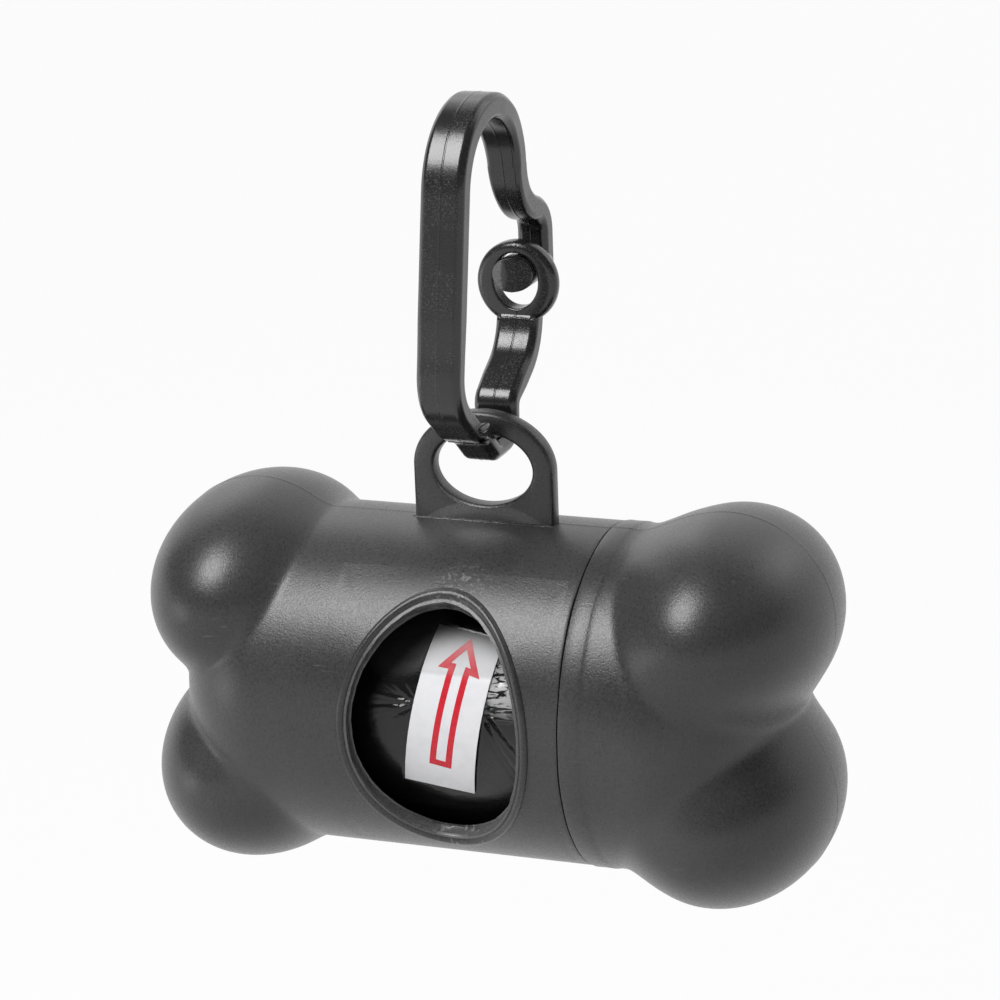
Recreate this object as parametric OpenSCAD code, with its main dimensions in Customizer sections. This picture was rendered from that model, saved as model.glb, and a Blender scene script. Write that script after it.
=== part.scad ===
// Bone-shaped holder for a roll of waste bags, hung from a plastic carabiner.
// Millimetres. X runs along the bone towards the end cap, the window faces -Y, Z is up.
// The origin is the spot inside the carabiner's arch where it hangs on a lead.

/* [Bone] */
// Distance from the middle of the bone to the waist between two lobes
waist_x = 36.1; // [35.5:0.1:42]
// Length of the rounded end behind the waist
dome_l = 14; // [11:0.1:15]
// Wall thickness of the blow-moulded halves
wall = 1.4; // [1:0.1:1.7]
// Distance of the lobes' centres from the middle of the bone
lobe_x = 28.2; // [26:0.1:32]
// Height of the lobes' centres above and below the axis
lobe_z = 10.4; // [9.5:0.1:11.5]
// Radius of a lobe, seen from the front
lobe_r = 12; // [11:0.1:13]
// Half of a lobe's depth from front to back
lobe_half_d = 18.6; // [17:0.1:20]

/* [End cap] */
// Distance of the seam from the middle of the bone
seam_x = 14.5; // [13:0.1:17]
// Width of the groove between body and cap
seam_gap = 0.35; // [0.2:0.05:0.8]
// How far the cap's collar stands proud of the tube
collar_step = 0.25; // [0:0.05:0.6]
// Length of the collar before the cap drops to the tube's radius
collar_l = 2.2; // [1:0.1:4]
// Length of the neck that the cap pushes onto
neck_l = 8; // [6:0.1:8.5]
// Wall thickness of the neck
neck_wall = 1.2; // [0.8:0.1:1.4]
// Clearance between the neck and the cap, on the radius
neck_fit = 0.12; // [0.08:0.02:0.2]
// Chamfer on the neck's mouth
neck_lead = 0.5; // [0.2:0.1:0.7]

/* [Window] */
// Half width of the opening
window_half_w = 9.3; // [7:0.1:10]
// Half height of the opening
window_half_h = 12.3; // [9:0.1:13]
// Offset of the window along the bone
window_x = -0.3; // [-1:0.1:0.4]
// Height of the window above the axis
window_z = 0.6; // [-1:0.1:1]
// Width of the raised rim
rim_w = 2; // [1.2:0.1:2.4]
// Height of the rim above the tube
rim_h = 0.55; // [0.2:0.05:1]
// Steps in the rim's rounded profile
rim_steps = 3; // [1:1:4]

/* [Eyelet] */
// Offset of the eyelet along the bone
eyelet_x = -0.5; // [-1.5:0.1:1]
// Height of the eyelet hole's centre above the top of the tube
eyelet_rise = 6; // [5.6:0.1:8]
// Half width of the hole
hole_half_w = 5.95; // [5.5:0.05:7]
// Half height of the hole
hole_half_h = 4.2; // [4.15:0.05:5]
// Width of the plate around the hole
eyelet_rim = 2.4; // [1.8:0.1:3]
// Thickness of the plate
eyelet_t = 2.4; // [1.8:0.1:2.8]

/* [Carabiner bar] */
// Width of the bar across the carabiner
bar_w = 5.1; // [4.8:0.1:5.4]
// Thickness of the bar in the spine and arch
spine_t = 3; // [2.8:0.1:3.4]
// Thickness of the bar where it carries the eyelet
seat_t = 2.7; // [2.3:0.1:2.9]
// Width of the arm behind the arch
arm_w = 3.7; // [3.2:0.1:4.4]
// Thickness of the arm behind the arch
arm_t = 2.9; // [2.6:0.1:3.2]
// Bevel along the bar's edges
bevel = 0.6; // [0.4:0.05:0.8]

/* [Carabiner frame] */
// Drop of the bar below the top of the eyelet hole
seat_gap = 0.95; // [0.9:0.05:1.2]
// Distance of the gate's root behind the eyelet plate
root_y = 4.2; // [3.8:0.1:5]
// Bend radius below the gate's root
root_bend = 2.2; // [1.8:0.1:2.4]
// Where the flat of the seat ends, in front of the eyelet plate
seat_y = 1.8; // [1.7:0.1:2.4]
// Bend radius in front of the seat
seat_bend = 4; // [3:0.1:5]
// Distance of the spine's foot in front of the eyelet plate
foot_y = 12.7; // [11:0.1:14]
// Height of the spine's foot above the seat
foot_z = 7.7; // [6.5:0.05:9]
// Bend radius at the spine's foot
foot_bend = 6.2; // [4:0.1:7]
// Straight part of the bar above that bend, before it thickens
foot_l = 1; // [0.5:0.1:3]
// Lean of the spine as it hangs, in degrees
lean = 10; // [6:0.5:12]
// Length of the spine above its foot
spine_l = 23.9; // [21:0.1:28]
// Length of the spine over which the bar thickens
taper_l = 5; // [3:0.1:7]
// Radius of the arch, to the middle of the bar
arch_r = 9.3; // [8.5:0.1:11]
// Part of the arch over which the bar narrows to the arm, in degrees
narrow_a = 40; // [25:1:60]
// Angle at which the arm flares away below the arch
flare = 7; // [2:0.5:15]
// Straight part of the arm below the arch
arm_l = 0.2; // [0.2:0.1:2]
// Bend radius where the arm sweeps out to the shoulder
shoulder_bend = 7.1; // [4:0.1:8]
// Straight part of the shoulder
shoulder_l = 0.7; // [0.5:0.1:2]
// Angle of the shoulder below level
shoulder_dip = 15.5; // [10:0.5:25]
// Bend radius at the back of the hook
hook_bend = 3.2; // [2:0.1:4]
// Straight part of the hook, down to the peg
hook_l = 3.5; // [3:0.1:5]

/* [Peg and gate] */
// Length of the peg that the ring drops over
peg_l = 7.7; // [7.5:0.1:8]
// Width of the peg
peg_w = 4.7; // [4.2:0.1:4.9]
// Height of the peg
peg_h = 3.9; // [3.4:0.1:4]
// Chamfer around the peg's tip
peg_bevel = 0.6; // [0.3:0.1:1]
// Radius of the gate's ring
ring_r = 4.85; // [4.7:0.05:5.2]
// Thickness of the ring
ring_t = 2.4; // [2.2:0.1:2.8]
// Width of the ring's hole
ring_hole_w = 5.5; // [5.4:0.1:6.2]
// Height of the ring's hole
ring_hole_h = 6.5; // [6.4:0.1:6.8]
// Height of the hole's middle above the ring's middle
hole_rise = 0.3; // [0:0.1:0.5]
// Reach of the peg's tip in front of the ring's middle
peg_show = 1.85; // [1.4:0.05:2.2]
// How far the peg sits above the middle of the ring's hole
peg_lift = 0.9; // [0.6:0.05:0.95]
// Chamfer around the ring
ring_bevel = 0.5; // [0.3:0.05:0.6]
// Thickness of the gate arm
gate_t = 2.8; // [2.4:0.1:3]
// Thickness of the flexing root
root_t = 2.3; // [1.9:0.1:2.4]
// Height of the flex point above the seat
root_z = 2.8; // [2.6:0.1:3.4]
// Length of the root above the flex point
root_l = 2.1; // [1.8:0.1:2.6]
// Slope of the gate arm, in degrees
gate_slope = 30; // [27:0.5:36]
// Bend radius at the foot of the gate arm
gate_foot_bend = 1.5; // [1.3:0.1:1.8]
// Angle of the gate arm off upright where it meets the ring
gate_lean = 13; // [8:0.5:16]
// Bend radius in the middle of the gate arm
gate_top_bend = 7; // [4:0.1:7.5]
// Clearance at the flex point
flex_gap = 0.12; // [0.08:0.02:0.2]

/* [Bag roll] */
// Radius of the wound roll
roll_r = 15.5; // [14:0.1:15.6]
// Length of the roll
roll_l = 55; // [50:0.5:55.5]
// Play of the roll in the neck, on the radius
roll_play = 1.53; // [1.2:0.01:2.5]
// Gap left under the roll where it rests in the neck
roll_gap = 0.3; // [0.2:0.05:0.4]
// Outer radius of the paper core
core_r = 5.4; // [5.2:0.1:7]
// Wall thickness of the paper core
core_wall = 1.2; // [0.8:0.1:1.6]
// How far the core stays inside each end of the roll
core_inset = 0.5; // [0.3:0.1:1]
// Bags on the roll
bag_count = 15; // [10:1:20]
// Air between one wound bag and the next
bag_gap = 0.03; // [0.02:0.01:0.05]

/* [Start label] */
// Width of the label
label_w = 8.2; // [6:0.1:10]
// Height of the label, seen from the front
label_h = 17.4; // [12:0.1:20]
// Thickness of the label
label_t = 0.12; // [0.1:0.01:0.2]
// Height of the label's middle above the roll's axis
label_z = 2.1; // [0:0.1:3]
// Tilt of the label, in degrees
label_tilt = 10.9; // [0:0.1:15]

/* [Hidden] */
// Smoothness of round stretches
$fn = 96;
// Amount by which a cut runs past the faces that it opens
cut = 1;
// Overlap where one stretch of bar runs into the next
lap = 0.1;
// Lofts in the stretch of the arch that narrows
arc_lofts = 4;
// Radii of the neck's bore and outside, and of the tube around it: the roll sets them all
neck_bore = roll_r + roll_play;
neck_r = neck_bore + neck_wall;
tube_r = neck_r + neck_fit + wall - collar_step;
// Heights of the eyelet hole and of the middle of the seat bar above the bone's axis
eyelet_z = tube_r + eyelet_rise;
seat_z = eyelet_z + hole_half_h - seat_gap - seat_t / 2;
// The straight part of the tube ends where the rounded ends begin
straight_x = waist_x - dome_l;
// Corners of the carabiner's path in its own plane: [y, z] as it hangs, from the bone's axis
root = [root_y, seat_z + root_z];
corner = [root_y, seat_z];
seat = [-seat_y, seat_z];
foot = [-foot_y, seat_z + foot_z];
spine_dir = [sin(lean), cos(lean)];
arch_start = foot + spine_l * spine_dir;
arch_mid = arch_start + arch_r * [cos(lean), -sin(lean)];
arm_dir = [sin(flare), -cos(flare)];
arch_end = arch_mid + arch_r * [cos(flare), sin(flare)];
// A bend takes this much from the runs before and after its corner
shoulder_trim = shoulder_bend * tan((90 - flare - shoulder_dip) / 2);
hook_trim = hook_bend * tan((90 - shoulder_dip) / 2);
shoulder = arch_end + (arm_l + shoulder_trim) * arm_dir;
shoulder_dir = [cos(shoulder_dip), -sin(shoulder_dip)];
hook = shoulder + (shoulder_trim + shoulder_l + hook_trim) * shoulder_dir;
peg = hook - [0, hook_trim + hook_l];
peg_tip = peg - [peg_l, 0];
// The ring hangs over the peg, and the gate arm runs from the root to the ring's foot
ring = peg_tip + [peg_show, -peg_lift - hole_rise];
ring_foot = ring - [0, ring_r - ring_bevel];
gate_foot = root + [0, root_l];
gate_rise = (ring_foot[1] - gate_foot[1]) * tan(gate_lean);
gate_run = (ring_foot[0] - root_y - gate_rise) / (1 - tan(gate_slope) * tan(gate_lean));
gate_top = gate_foot + gate_run * [1, tan(gate_slope)];
// The lead pulls on the middle of the arch's inside
hang = [arch_mid[0], arch_mid[1] + arch_r - spine_t / 2];
// The roll lies on the floor of the neck
roll_z = roll_gap - roll_play;
// Radius of the roll under bag n, with the same amount of film in every bag
function bag_r(n) = sqrt(pow(roll_r, 2) - n * (pow(roll_r, 2) - pow(core_r, 2)) / bag_count);
function two_digits(n) = str(n < 10 ? "0" : "", n);
bag_names = [for (n = [1 : bag_count]) str("bag_", two_digits(n))];

// Puts a piece that is drawn from the bone's axis into the hanging frame
module hung() {
    translate([-eyelet_x, -hang[0], -hang[1]]) children();
}

// Turns a shape that is drawn along Z so that it runs along X
module along_x() {
    rotate([0, 90, 0]) children();
}

// ---- Bone ----

// The bone's form, shrunk by inset: a tube with rounded ends and four egg-shaped lobes
module bone(inset) {
    r = tube_r - inset;
    along_x() cylinder(r = r, h = 2 * straight_x, center = true);
    for (side = [-1, 1]) {
        translate([side * straight_x, 0, 0]) scale([(dome_l - inset) / r, 1, 1]) sphere(r = r);
        for (end = [-1, 1])
            translate([side * lobe_x, 0, end * lobe_z])
                scale([1, (lobe_half_d - inset) / (lobe_r - inset), 1])
                    sphere(r = lobe_r - inset);
    }
}

// Everything between two distances along the bone
module slab(from_x, to_x) {
    size = 4 * tube_r;
    translate([from_x, -size / 2, -size / 2]) cube([to_x - from_x, size, size]);
}

// Upright oval rod that runs from the bone's axis out through the front
module oval(half_w, half_h) {
    translate([0, -tube_r - rim_h - cut, 0]) rotate([-90, 0, 0])
        scale([1, half_h / half_w, 1]) cylinder(r = half_w, h = tube_r + rim_h + cut);
}

// Raised rim around the window, rounded in steps
module window_rim() {
    for (i = [0 : rim_steps - 1]) {
        inset = rim_w / 2 * (1 - cos(90 * i / rim_steps));
        rise = rim_h * sin(90 * (i + 1) / rim_steps);
        intersection() {
            along_x() cylinder(r = tube_r + rise, h = 2 * straight_x, center = true);
            translate([window_x, 0, window_z]) difference() {
                oval(window_half_w + rim_w - inset, window_half_h + rim_w - inset);
                oval(window_half_w + inset, window_half_h + inset);
            }
        }
    }
}

// Plate on top with an oval hole for the carabiner
module eyelet() {
    translate([eyelet_x, eyelet_t / 2, 0]) rotate([90, 0, 0]) linear_extrude(eyelet_t)
        difference() {
            half_w = hole_half_w + eyelet_rim;
            union() {
                translate([0, eyelet_z]) scale([1, (hole_half_h + eyelet_rim) / half_w]) circle(r = half_w);
                translate([-half_w, tube_r - wall]) square([2 * half_w, eyelet_rise + wall]);
            }
            translate([0, eyelet_z]) scale([1, hole_half_h / hole_half_w]) circle(r = hole_half_w);
        }
}

// Neck with a chamfered mouth, which closes the step down from the tube
module neck() {
    mouth_x = seam_x + neck_l;
    translate([seam_x - seam_gap - wall, 0, 0]) along_x()
        cylinder(r = neck_r, h = neck_l + seam_gap + wall - neck_lead);
    translate([mouth_x - neck_lead, 0, 0]) along_x()
        cylinder(r1 = neck_r, r2 = neck_r - neck_lead, h = neck_lead);
}

// Moulded body: tube, two lobes, window, eyelet and neck
module shell() color("#4b4b4c") hung() difference() {
    union() {
        intersection() {
            bone(0);
            slab(-2 * waist_x, seam_x - seam_gap);
        }
        window_rim();
        eyelet();
        neck();
    }
    intersection() {
        bone(wall);
        slab(-2 * waist_x, seam_x - seam_gap - wall);
    }
    along_x() cylinder(r = neck_bore, h = waist_x);
    translate([window_x, 0, window_z]) oval(window_half_w, window_half_h);
}

// Moulded cap: collar and two lobes, open towards the neck
module end_cap() color("#4b4b4c") hung() difference() {
    union() {
        intersection() {
            bone(0);
            slab(seam_x, 2 * waist_x);
        }
        translate([seam_x, 0, 0]) along_x()
            cylinder(r = tube_r + collar_step, h = collar_l);
        translate([seam_x + collar_l, 0, 0]) along_x()
            cylinder(r1 = tube_r + collar_step, r2 = tube_r, h = collar_step);
    }
    intersection() {
        bone(wall);
        slab(seam_x + neck_l - cut, 2 * waist_x);
    }
    translate([seam_x - cut, 0, 0]) along_x()
        cylinder(r = neck_r + neck_fit, h = cut + neck_l + neck_fit);
}

// ---- Carabiner ----

// Puts a piece drawn in the carabiner's plane, x to the back and y up, in its place
module in_clip() {
    hung() translate([eyelet_x, 0, 0]) rotate([90, 0, 90]) children();
}

// Cross-section of the bar: a rectangle with bevelled corners
module section(t, w, b = bevel) {
    polygon([
        [-t / 2, b - w / 2], [b - t / 2, -w / 2], [t / 2 - b, -w / 2], [t / 2, b - w / 2],
        [t / 2, w / 2 - b], [t / 2 - b, w / 2], [b - t / 2, w / 2], [-t / 2, w / 2 - b]
    ]);
}

// Direction from one point to another, in degrees
function heading(a, b) = atan2(b[1] - a[1], b[0] - a[0]);
// Turn at a corner, positive to the left
function turn(a, b, c) = let (d = heading(b, c) - heading(a, b)) d > 180 ? d - 360 : d < -180 ? d + 360 : d;
// Length that a bend takes from each leg at its corner
function trim(a, b, c, r) = r * tan(abs(turn(a, b, c)) / 2);
// Point at a distance from a towards b
function towards(a, b, d) = a + d * (b - a) / norm(b - a);

// Straight bar from a to b
module leg(a, b, t, w) {
    translate(a) rotate(heading(a, b) - 90) rotate([-90, 0, 0]) translate([0, 0, -lap])
        linear_extrude(norm(b - a) + 2 * lap) section(t, w);
}

// Straight bar from a to b that changes its section on the way
module tapered_leg(a, b, t1, w1, t2, w2) {
    translate(a) rotate(heading(a, b) - 90) rotate([-90, 0, 0]) translate([0, 0, -lap]) hull() {
        linear_extrude(lap) section(t1, w1);
        translate([0, 0, norm(b - a) + lap]) linear_extrude(lap) section(t2, w2);
    }
}

// Arc of bar around a centre, from one angle over a span
module arc(mid, r, from_a, span, t, w) {
    translate(mid) rotate(span < 0 ? from_a + span : from_a)
        rotate_extrude(angle = abs(span)) translate([r, 0]) section(t, w);
}

// Arc of bar that changes its section on the way, in short straight lofts
module tapered_arc(mid, r, from_a, span, t1, w1, t2, w2) {
    for (i = [1 : arc_lofts]) hull() for (share = [i - 1, i] / arc_lofts)
        translate(mid) rotate(from_a + span * share) translate([r, 0]) rotate([90, 0, 0])
            linear_extrude(lap, center = true)
                section(t1 + (t2 - t1) * share, w1 + (w2 - w1) * share);
}

// Round bend at corner b between legs from a and to c
module bend(a, b, c, r, t, w) {
    side = sign(turn(a, b, c));
    start = towards(b, a, trim(a, b, c, r));
    normal_a = heading(a, b) + side * 90;
    mid = start + r * [cos(normal_a), sin(normal_a)];
    arc(mid, r, normal_a + 180, turn(a, b, c), t, w);
}

// Bar through a row of points, with a round bend at each inner point
module bent_bar(pts, radii, t, w) {
    last = len(pts) - 1;
    trims = [for (i = [0 : last])
        i == 0 || i == last ? 0 : trim(pts[i - 1], pts[i], pts[i + 1], radii[i - 1])];
    for (i = [0 : last - 1])
        leg(
            towards(pts[i], pts[i + 1], trims[i]),
            towards(pts[i + 1], pts[i], trims[i + 1]),
            t, w
        );
    for (i = [1 : last - 1])
        bend(pts[i - 1], pts[i], pts[i + 1], radii[i - 1], t, w);
}

// Oval peg with a chamfered tip, pointing forwards from the hook
module hook_peg() {
    translate(peg) rotate([0, -90, 0]) scale([peg_w / peg_h, 1, 1]) {
        cylinder(d = peg_h, h = peg_l - peg_bevel);
        translate([0, 0, peg_l - peg_bevel])
            cylinder(d1 = peg_h, d2 = peg_h - 2 * peg_bevel, h = peg_bevel);
    }
}

// Frame of the carabiner: seat, spine, arch, arm and hook
module clip_frame() color("#232324") in_clip() {
    taper_start = foot + (trim(seat, foot, arch_start, foot_bend) + foot_l) * spine_dir;
    spine_low = taper_start + taper_l * spine_dir;
    narrow_start = flare + narrow_a;
    difference() {
        bent_bar([root, corner, seat, foot, taper_start], [root_bend, seat_bend, foot_bend], seat_t, bar_w);
        translate(root) cylinder(r = root_t / 2 + flex_gap, h = 2 * bar_w, center = true);
        translate(root - [bar_w / 2, root_t / 4]) translate([0, 0, -bar_w]) cube([bar_w, bar_w, 2 * bar_w]);
    }
    tapered_leg(taper_start, spine_low, seat_t, bar_w, spine_t, bar_w);
    leg(spine_low, arch_start, spine_t, bar_w);
    arc(arch_mid, arch_r, 180 - lean, lean + narrow_start - 180, spine_t, bar_w);
    tapered_arc(arch_mid, arch_r, narrow_start, -narrow_a, spine_t, bar_w, arm_t, arm_w);
    bent_bar([arch_end - cut / 10 * arm_dir, shoulder, hook, peg - [0, peg_h / 2]],
        [shoulder_bend, hook_bend], arm_t, arm_w);
    hook_peg();
}

// Ring with a tall hole, chamfered around both faces, with its axis from front to back
module gate_ring() {
    half_rise = (ring_hole_h - ring_hole_w) / 2;
    half_t = ring_t / 2;
    translate(ring) rotate([0, 90, 0]) difference() {
        rotate_extrude() polygon([
            [0, -half_t], [ring_r - ring_bevel, -half_t], [ring_r, ring_bevel - half_t],
            [ring_r, half_t - ring_bevel], [ring_r - ring_bevel, half_t], [0, half_t]
        ]);
        rotate([0, 0, 90]) translate([hole_rise, 0, 0]) {
            for (s = [-1, 1]) translate([s * half_rise, 0, 0])
                cylinder(d = ring_hole_w, h = ring_t + 2 * cut, center = true);
            cube([2 * half_rise, ring_hole_w, ring_t + 2 * cut], center = true);
        }
    }
}

// Gate: flexing root, sloping arm and ring
module clip_gate() color("#232324") in_clip() {
    slope_start = towards(gate_foot, gate_top, trim(root, gate_foot, gate_top, gate_foot_bend));
    slope_end = towards(slope_start, gate_top, taper_l / 4);
    arm_end = ring_foot + 2 * ring_bevel * [sin(gate_lean), cos(gate_lean)];
    translate(root) cylinder(d = root_t, h = bar_w - 2 * bevel, center = true);
    bent_bar([root, gate_foot, towards(slope_start, gate_top, cut / 10)], [gate_foot_bend], root_t, bar_w);
    tapered_leg(slope_start, slope_end, root_t, bar_w, gate_t, bar_w);
    difference() {
        bent_bar([slope_end, gate_top, arm_end], [gate_top_bend], gate_t, bar_w);
        translate(ring_foot + [0, ring_bevel]) translate([-bar_w, 0, -bar_w]) cube(2 * bar_w);
    }
    gate_ring();
}

// ---- Bag roll ----

// Puts a piece drawn around Z on the roll's axis
module on_roll() {
    hung() translate([0, 0, roll_z]) along_x() children();
}

// Sleeve between two radii
module sleeve(inner_r, outer_r, length) {
    difference() {
        cylinder(r = outer_r, h = length, center = true);
        cylinder(r = inner_r, h = length + 2 * cut, center = true);
    }
}

// Paper tube in the middle of the roll
module roll_core() color("#b79a72") on_roll()
    sleeve(core_r - core_wall, core_r - bag_gap, roll_l - 2 * core_inset);

// One bag: a few turns of folded film around the bag inside it
module wound_bag(n) color("#161617") on_roll()
    sleeve(bag_r(n), bag_r(n - 1) - bag_gap, roll_l);

// Paper label that holds the outer bag's edge
module start_label() color("#ecebe9") hung() translate([0, 0, roll_z]) intersection() {
    along_x() sleeve(roll_r, roll_r + label_t, roll_l);
    translate([0, 0, label_z]) rotate([0, label_tilt, 0]) translate([0, -roll_r, 0])
        cube([label_w, roll_r, label_h], center = true);
}

shell();
end_cap();
clip_frame();
clip_gate();
roll_core();
start_label();
for (n = [1 : bag_count]) wound_bag(n);
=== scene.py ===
# %% [markdown]
# # A bone-shaped dispenser for dog waste bags
#
# The dispenser is a blow-moulded bone in two halves, hung from a plastic
# carabiner, with a roll of bags inside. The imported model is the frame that
# everything is built around: its sizes and joints are fixed, and each piece made
# here rides on one of its bodies.

# %% Load the frame
import math

import bpy
import numpy as np
from mathutils import Matrix, Vector


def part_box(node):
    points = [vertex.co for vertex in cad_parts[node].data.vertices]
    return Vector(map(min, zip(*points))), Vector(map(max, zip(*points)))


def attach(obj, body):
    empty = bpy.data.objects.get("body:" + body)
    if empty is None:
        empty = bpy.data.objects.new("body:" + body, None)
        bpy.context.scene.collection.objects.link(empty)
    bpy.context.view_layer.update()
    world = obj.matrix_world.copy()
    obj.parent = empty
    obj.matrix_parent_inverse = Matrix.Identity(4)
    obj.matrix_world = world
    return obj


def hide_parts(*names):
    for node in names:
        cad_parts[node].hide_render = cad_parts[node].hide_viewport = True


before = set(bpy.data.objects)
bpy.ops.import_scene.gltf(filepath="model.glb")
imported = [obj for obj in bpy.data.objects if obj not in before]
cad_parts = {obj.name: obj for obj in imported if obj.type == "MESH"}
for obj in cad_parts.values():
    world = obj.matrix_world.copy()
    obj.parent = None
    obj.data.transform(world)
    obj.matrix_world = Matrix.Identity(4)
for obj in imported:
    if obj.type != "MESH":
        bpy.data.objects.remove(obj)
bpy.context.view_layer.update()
MM = 0.001

# %% [markdown]
# ## Where things are
#
# The frame's origin is inside the carabiner's arch, but every piece is easier to
# build around the middle of the bone. That place can be read from the frame: the
# end cap is symmetrical about the bone's axis, and the body's left end is one
# lobe's radius beyond the lobe's centre. Sizes are in millimetres, as a maker
# would give them, and `to_frame` turns them into the frame's metres at the last
# moment.

# %% The middle of the bone
LOBE_X = 28.2
LOBE_R = 12.0

cap_low, cap_high = (np.array(corner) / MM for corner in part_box("end_cap"))
shell_low = np.array(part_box("shell")[0]) / MM
BONE = np.array([
    shell_low[0] + LOBE_X + LOBE_R,
    (cap_low[1] + cap_high[1]) / 2,
    (cap_low[2] + cap_high[2]) / 2,
])


def to_frame(points):
    """Points in millimetres from the middle of the bone, as metres from the frame's origin."""
    return (np.asarray(points, float) + BONE) * MM


print("middle of the bone at", BONE.round(3), "mm")

# %% [markdown]
# ## Building meshes row by row
#
# Every piece here is a skin stretched over rows of points: rings around a tube,
# outlines of a plate, or rungs along a strip. Blender's own primitives would need
# booleans and bevels to get the same shapes, and those leave uneven faces that
# shade badly on glossy plastic. A skin gives each piece clean quads that follow
# its form.

# %% A skin


class Skin:
    """Points and faces of one piece, in millimetres from the middle of the bone."""

    def __init__(self):
        self.points = []
        self.faces = []

    def row(self, points):
        """Adds points, and gives back their numbers."""
        start = len(self.points)
        self.points.extend(tuple(p) for p in points)
        return list(range(start, len(self.points)))

    def strip(self, a, b, closed=True):
        """Quads between two rows, all the way round or left open at the end."""
        count = len(a)
        for i in range(count if closed else count - 1):
            j = (i + 1) % count
            self.faces.append((a[i], a[j], b[j], b[i]))

    def strips(self, made, closed=True):
        for a, b in zip(made, made[1:]):
            self.strip(a, b, closed)

    def rows(self, many):
        """Adds rows with closed strips between them."""
        made = [self.row(points) for points in many]
        self.strips(made)
        return made

    def onwards(self, last, many):
        """Carries the skin on from its last row through more rows, and gives back the new last one."""
        made = [last] + [self.row(points) for points in many]
        self.strips(made)
        return made[-1]

    def cap(self, ring, tip):
        """Triangles from a ring to one point."""
        tip_number = self.row([tip])[0]
        for i in range(len(ring)):
            self.faces.append((ring[i], ring[(i + 1) % len(ring)], tip_number))


print("made the helper", Skin.__name__)

# %% The piece that a skin becomes


def turn_outwards(mesh):
    """Turns the faces to point outwards, by the sign of the volume they enclose."""
    mesh.calc_loop_triangles()
    corners = np.empty(len(mesh.vertices) * 3)
    mesh.vertices.foreach_get("co", corners)
    corners = corners.reshape(-1, 3)
    corners = corners - corners.mean(axis=0)
    index = np.empty(len(mesh.loop_triangles) * 3, int)
    mesh.loop_triangles.foreach_get("vertices", index)
    a, b, c = (corners[index.reshape(-1, 3)[:, k]] for k in range(3))
    if np.einsum("ij,ij->i", a, np.cross(b, c)).sum() < 0:
        mesh.flip_normals()


def piece(name, skin, body, finish, slot, sharp=40):
    """A mesh object from a skin, riding on a body, with edges over an angle kept sharp."""
    mesh = bpy.data.meshes.new(name)
    mesh.from_pydata(to_frame(skin.points).tolist(), [], skin.faces)
    mesh.validate()
    mesh.polygons.foreach_set("use_smooth", [True] * len(mesh.polygons))
    mesh.set_sharp_from_angle(angle=math.radians(sharp))
    thing = bpy.data.objects.new(name, mesh)
    bpy.context.scene.collection.objects.link(thing)
    turn_outwards(mesh)
    mesh.materials.append(finish)
    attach(thing, body)
    print(name, "has", len(mesh.polygons), "faces")
    return thing


print("made the helpers", turn_outwards.__name__, "and", piece.__name__)

# %% [markdown]
# ## Shader maths in plain Python
#
# A material is a sum of many small ideas: a grain, a scuff, a darker patch. Wiring
# each sum by hand hides the idea, so a socket is wrapped in a class whose
# operators add the Math nodes. Colours and vectors go through Mix and Vector Math,
# because a Math node turns a colour grey.

# %% A socket that can be added up


class Wire:
    """An output socket, which sums, differences and products can be made from."""

    def __init__(self, finish, socket):
        self.finish = finish
        self.socket = socket

    def maths(self, operation, *values, clamp=False):
        settings = dict(operation=operation, use_clamp=clamp)
        return self.finish.node("ShaderNodeMath", 0, settings, *values)

    def __add__(self, other):
        return self.maths("ADD", self, other)

    def __sub__(self, other):
        return self.maths("SUBTRACT", self, other)

    def __rsub__(self, other):
        return self.maths("SUBTRACT", other, self)

    def __mul__(self, other):
        return self.maths("MULTIPLY", self, other)

    __radd__ = __add__
    __rmul__ = __mul__

    def within(self, low, high):
        """0 below low, 1 above high, and a soft step between; high may be the smaller."""
        settings = dict(interpolation_type="SMOOTHSTEP")
        return self.finish.node("ShaderNodeMapRange", 0, settings, self, low, high, 0.0, 1.0)

    def clamped(self):
        return self.maths("ADD", self, 0.0, clamp=True)


print("made the helper", Wire.__name__)

# %% A material to wire up


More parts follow.
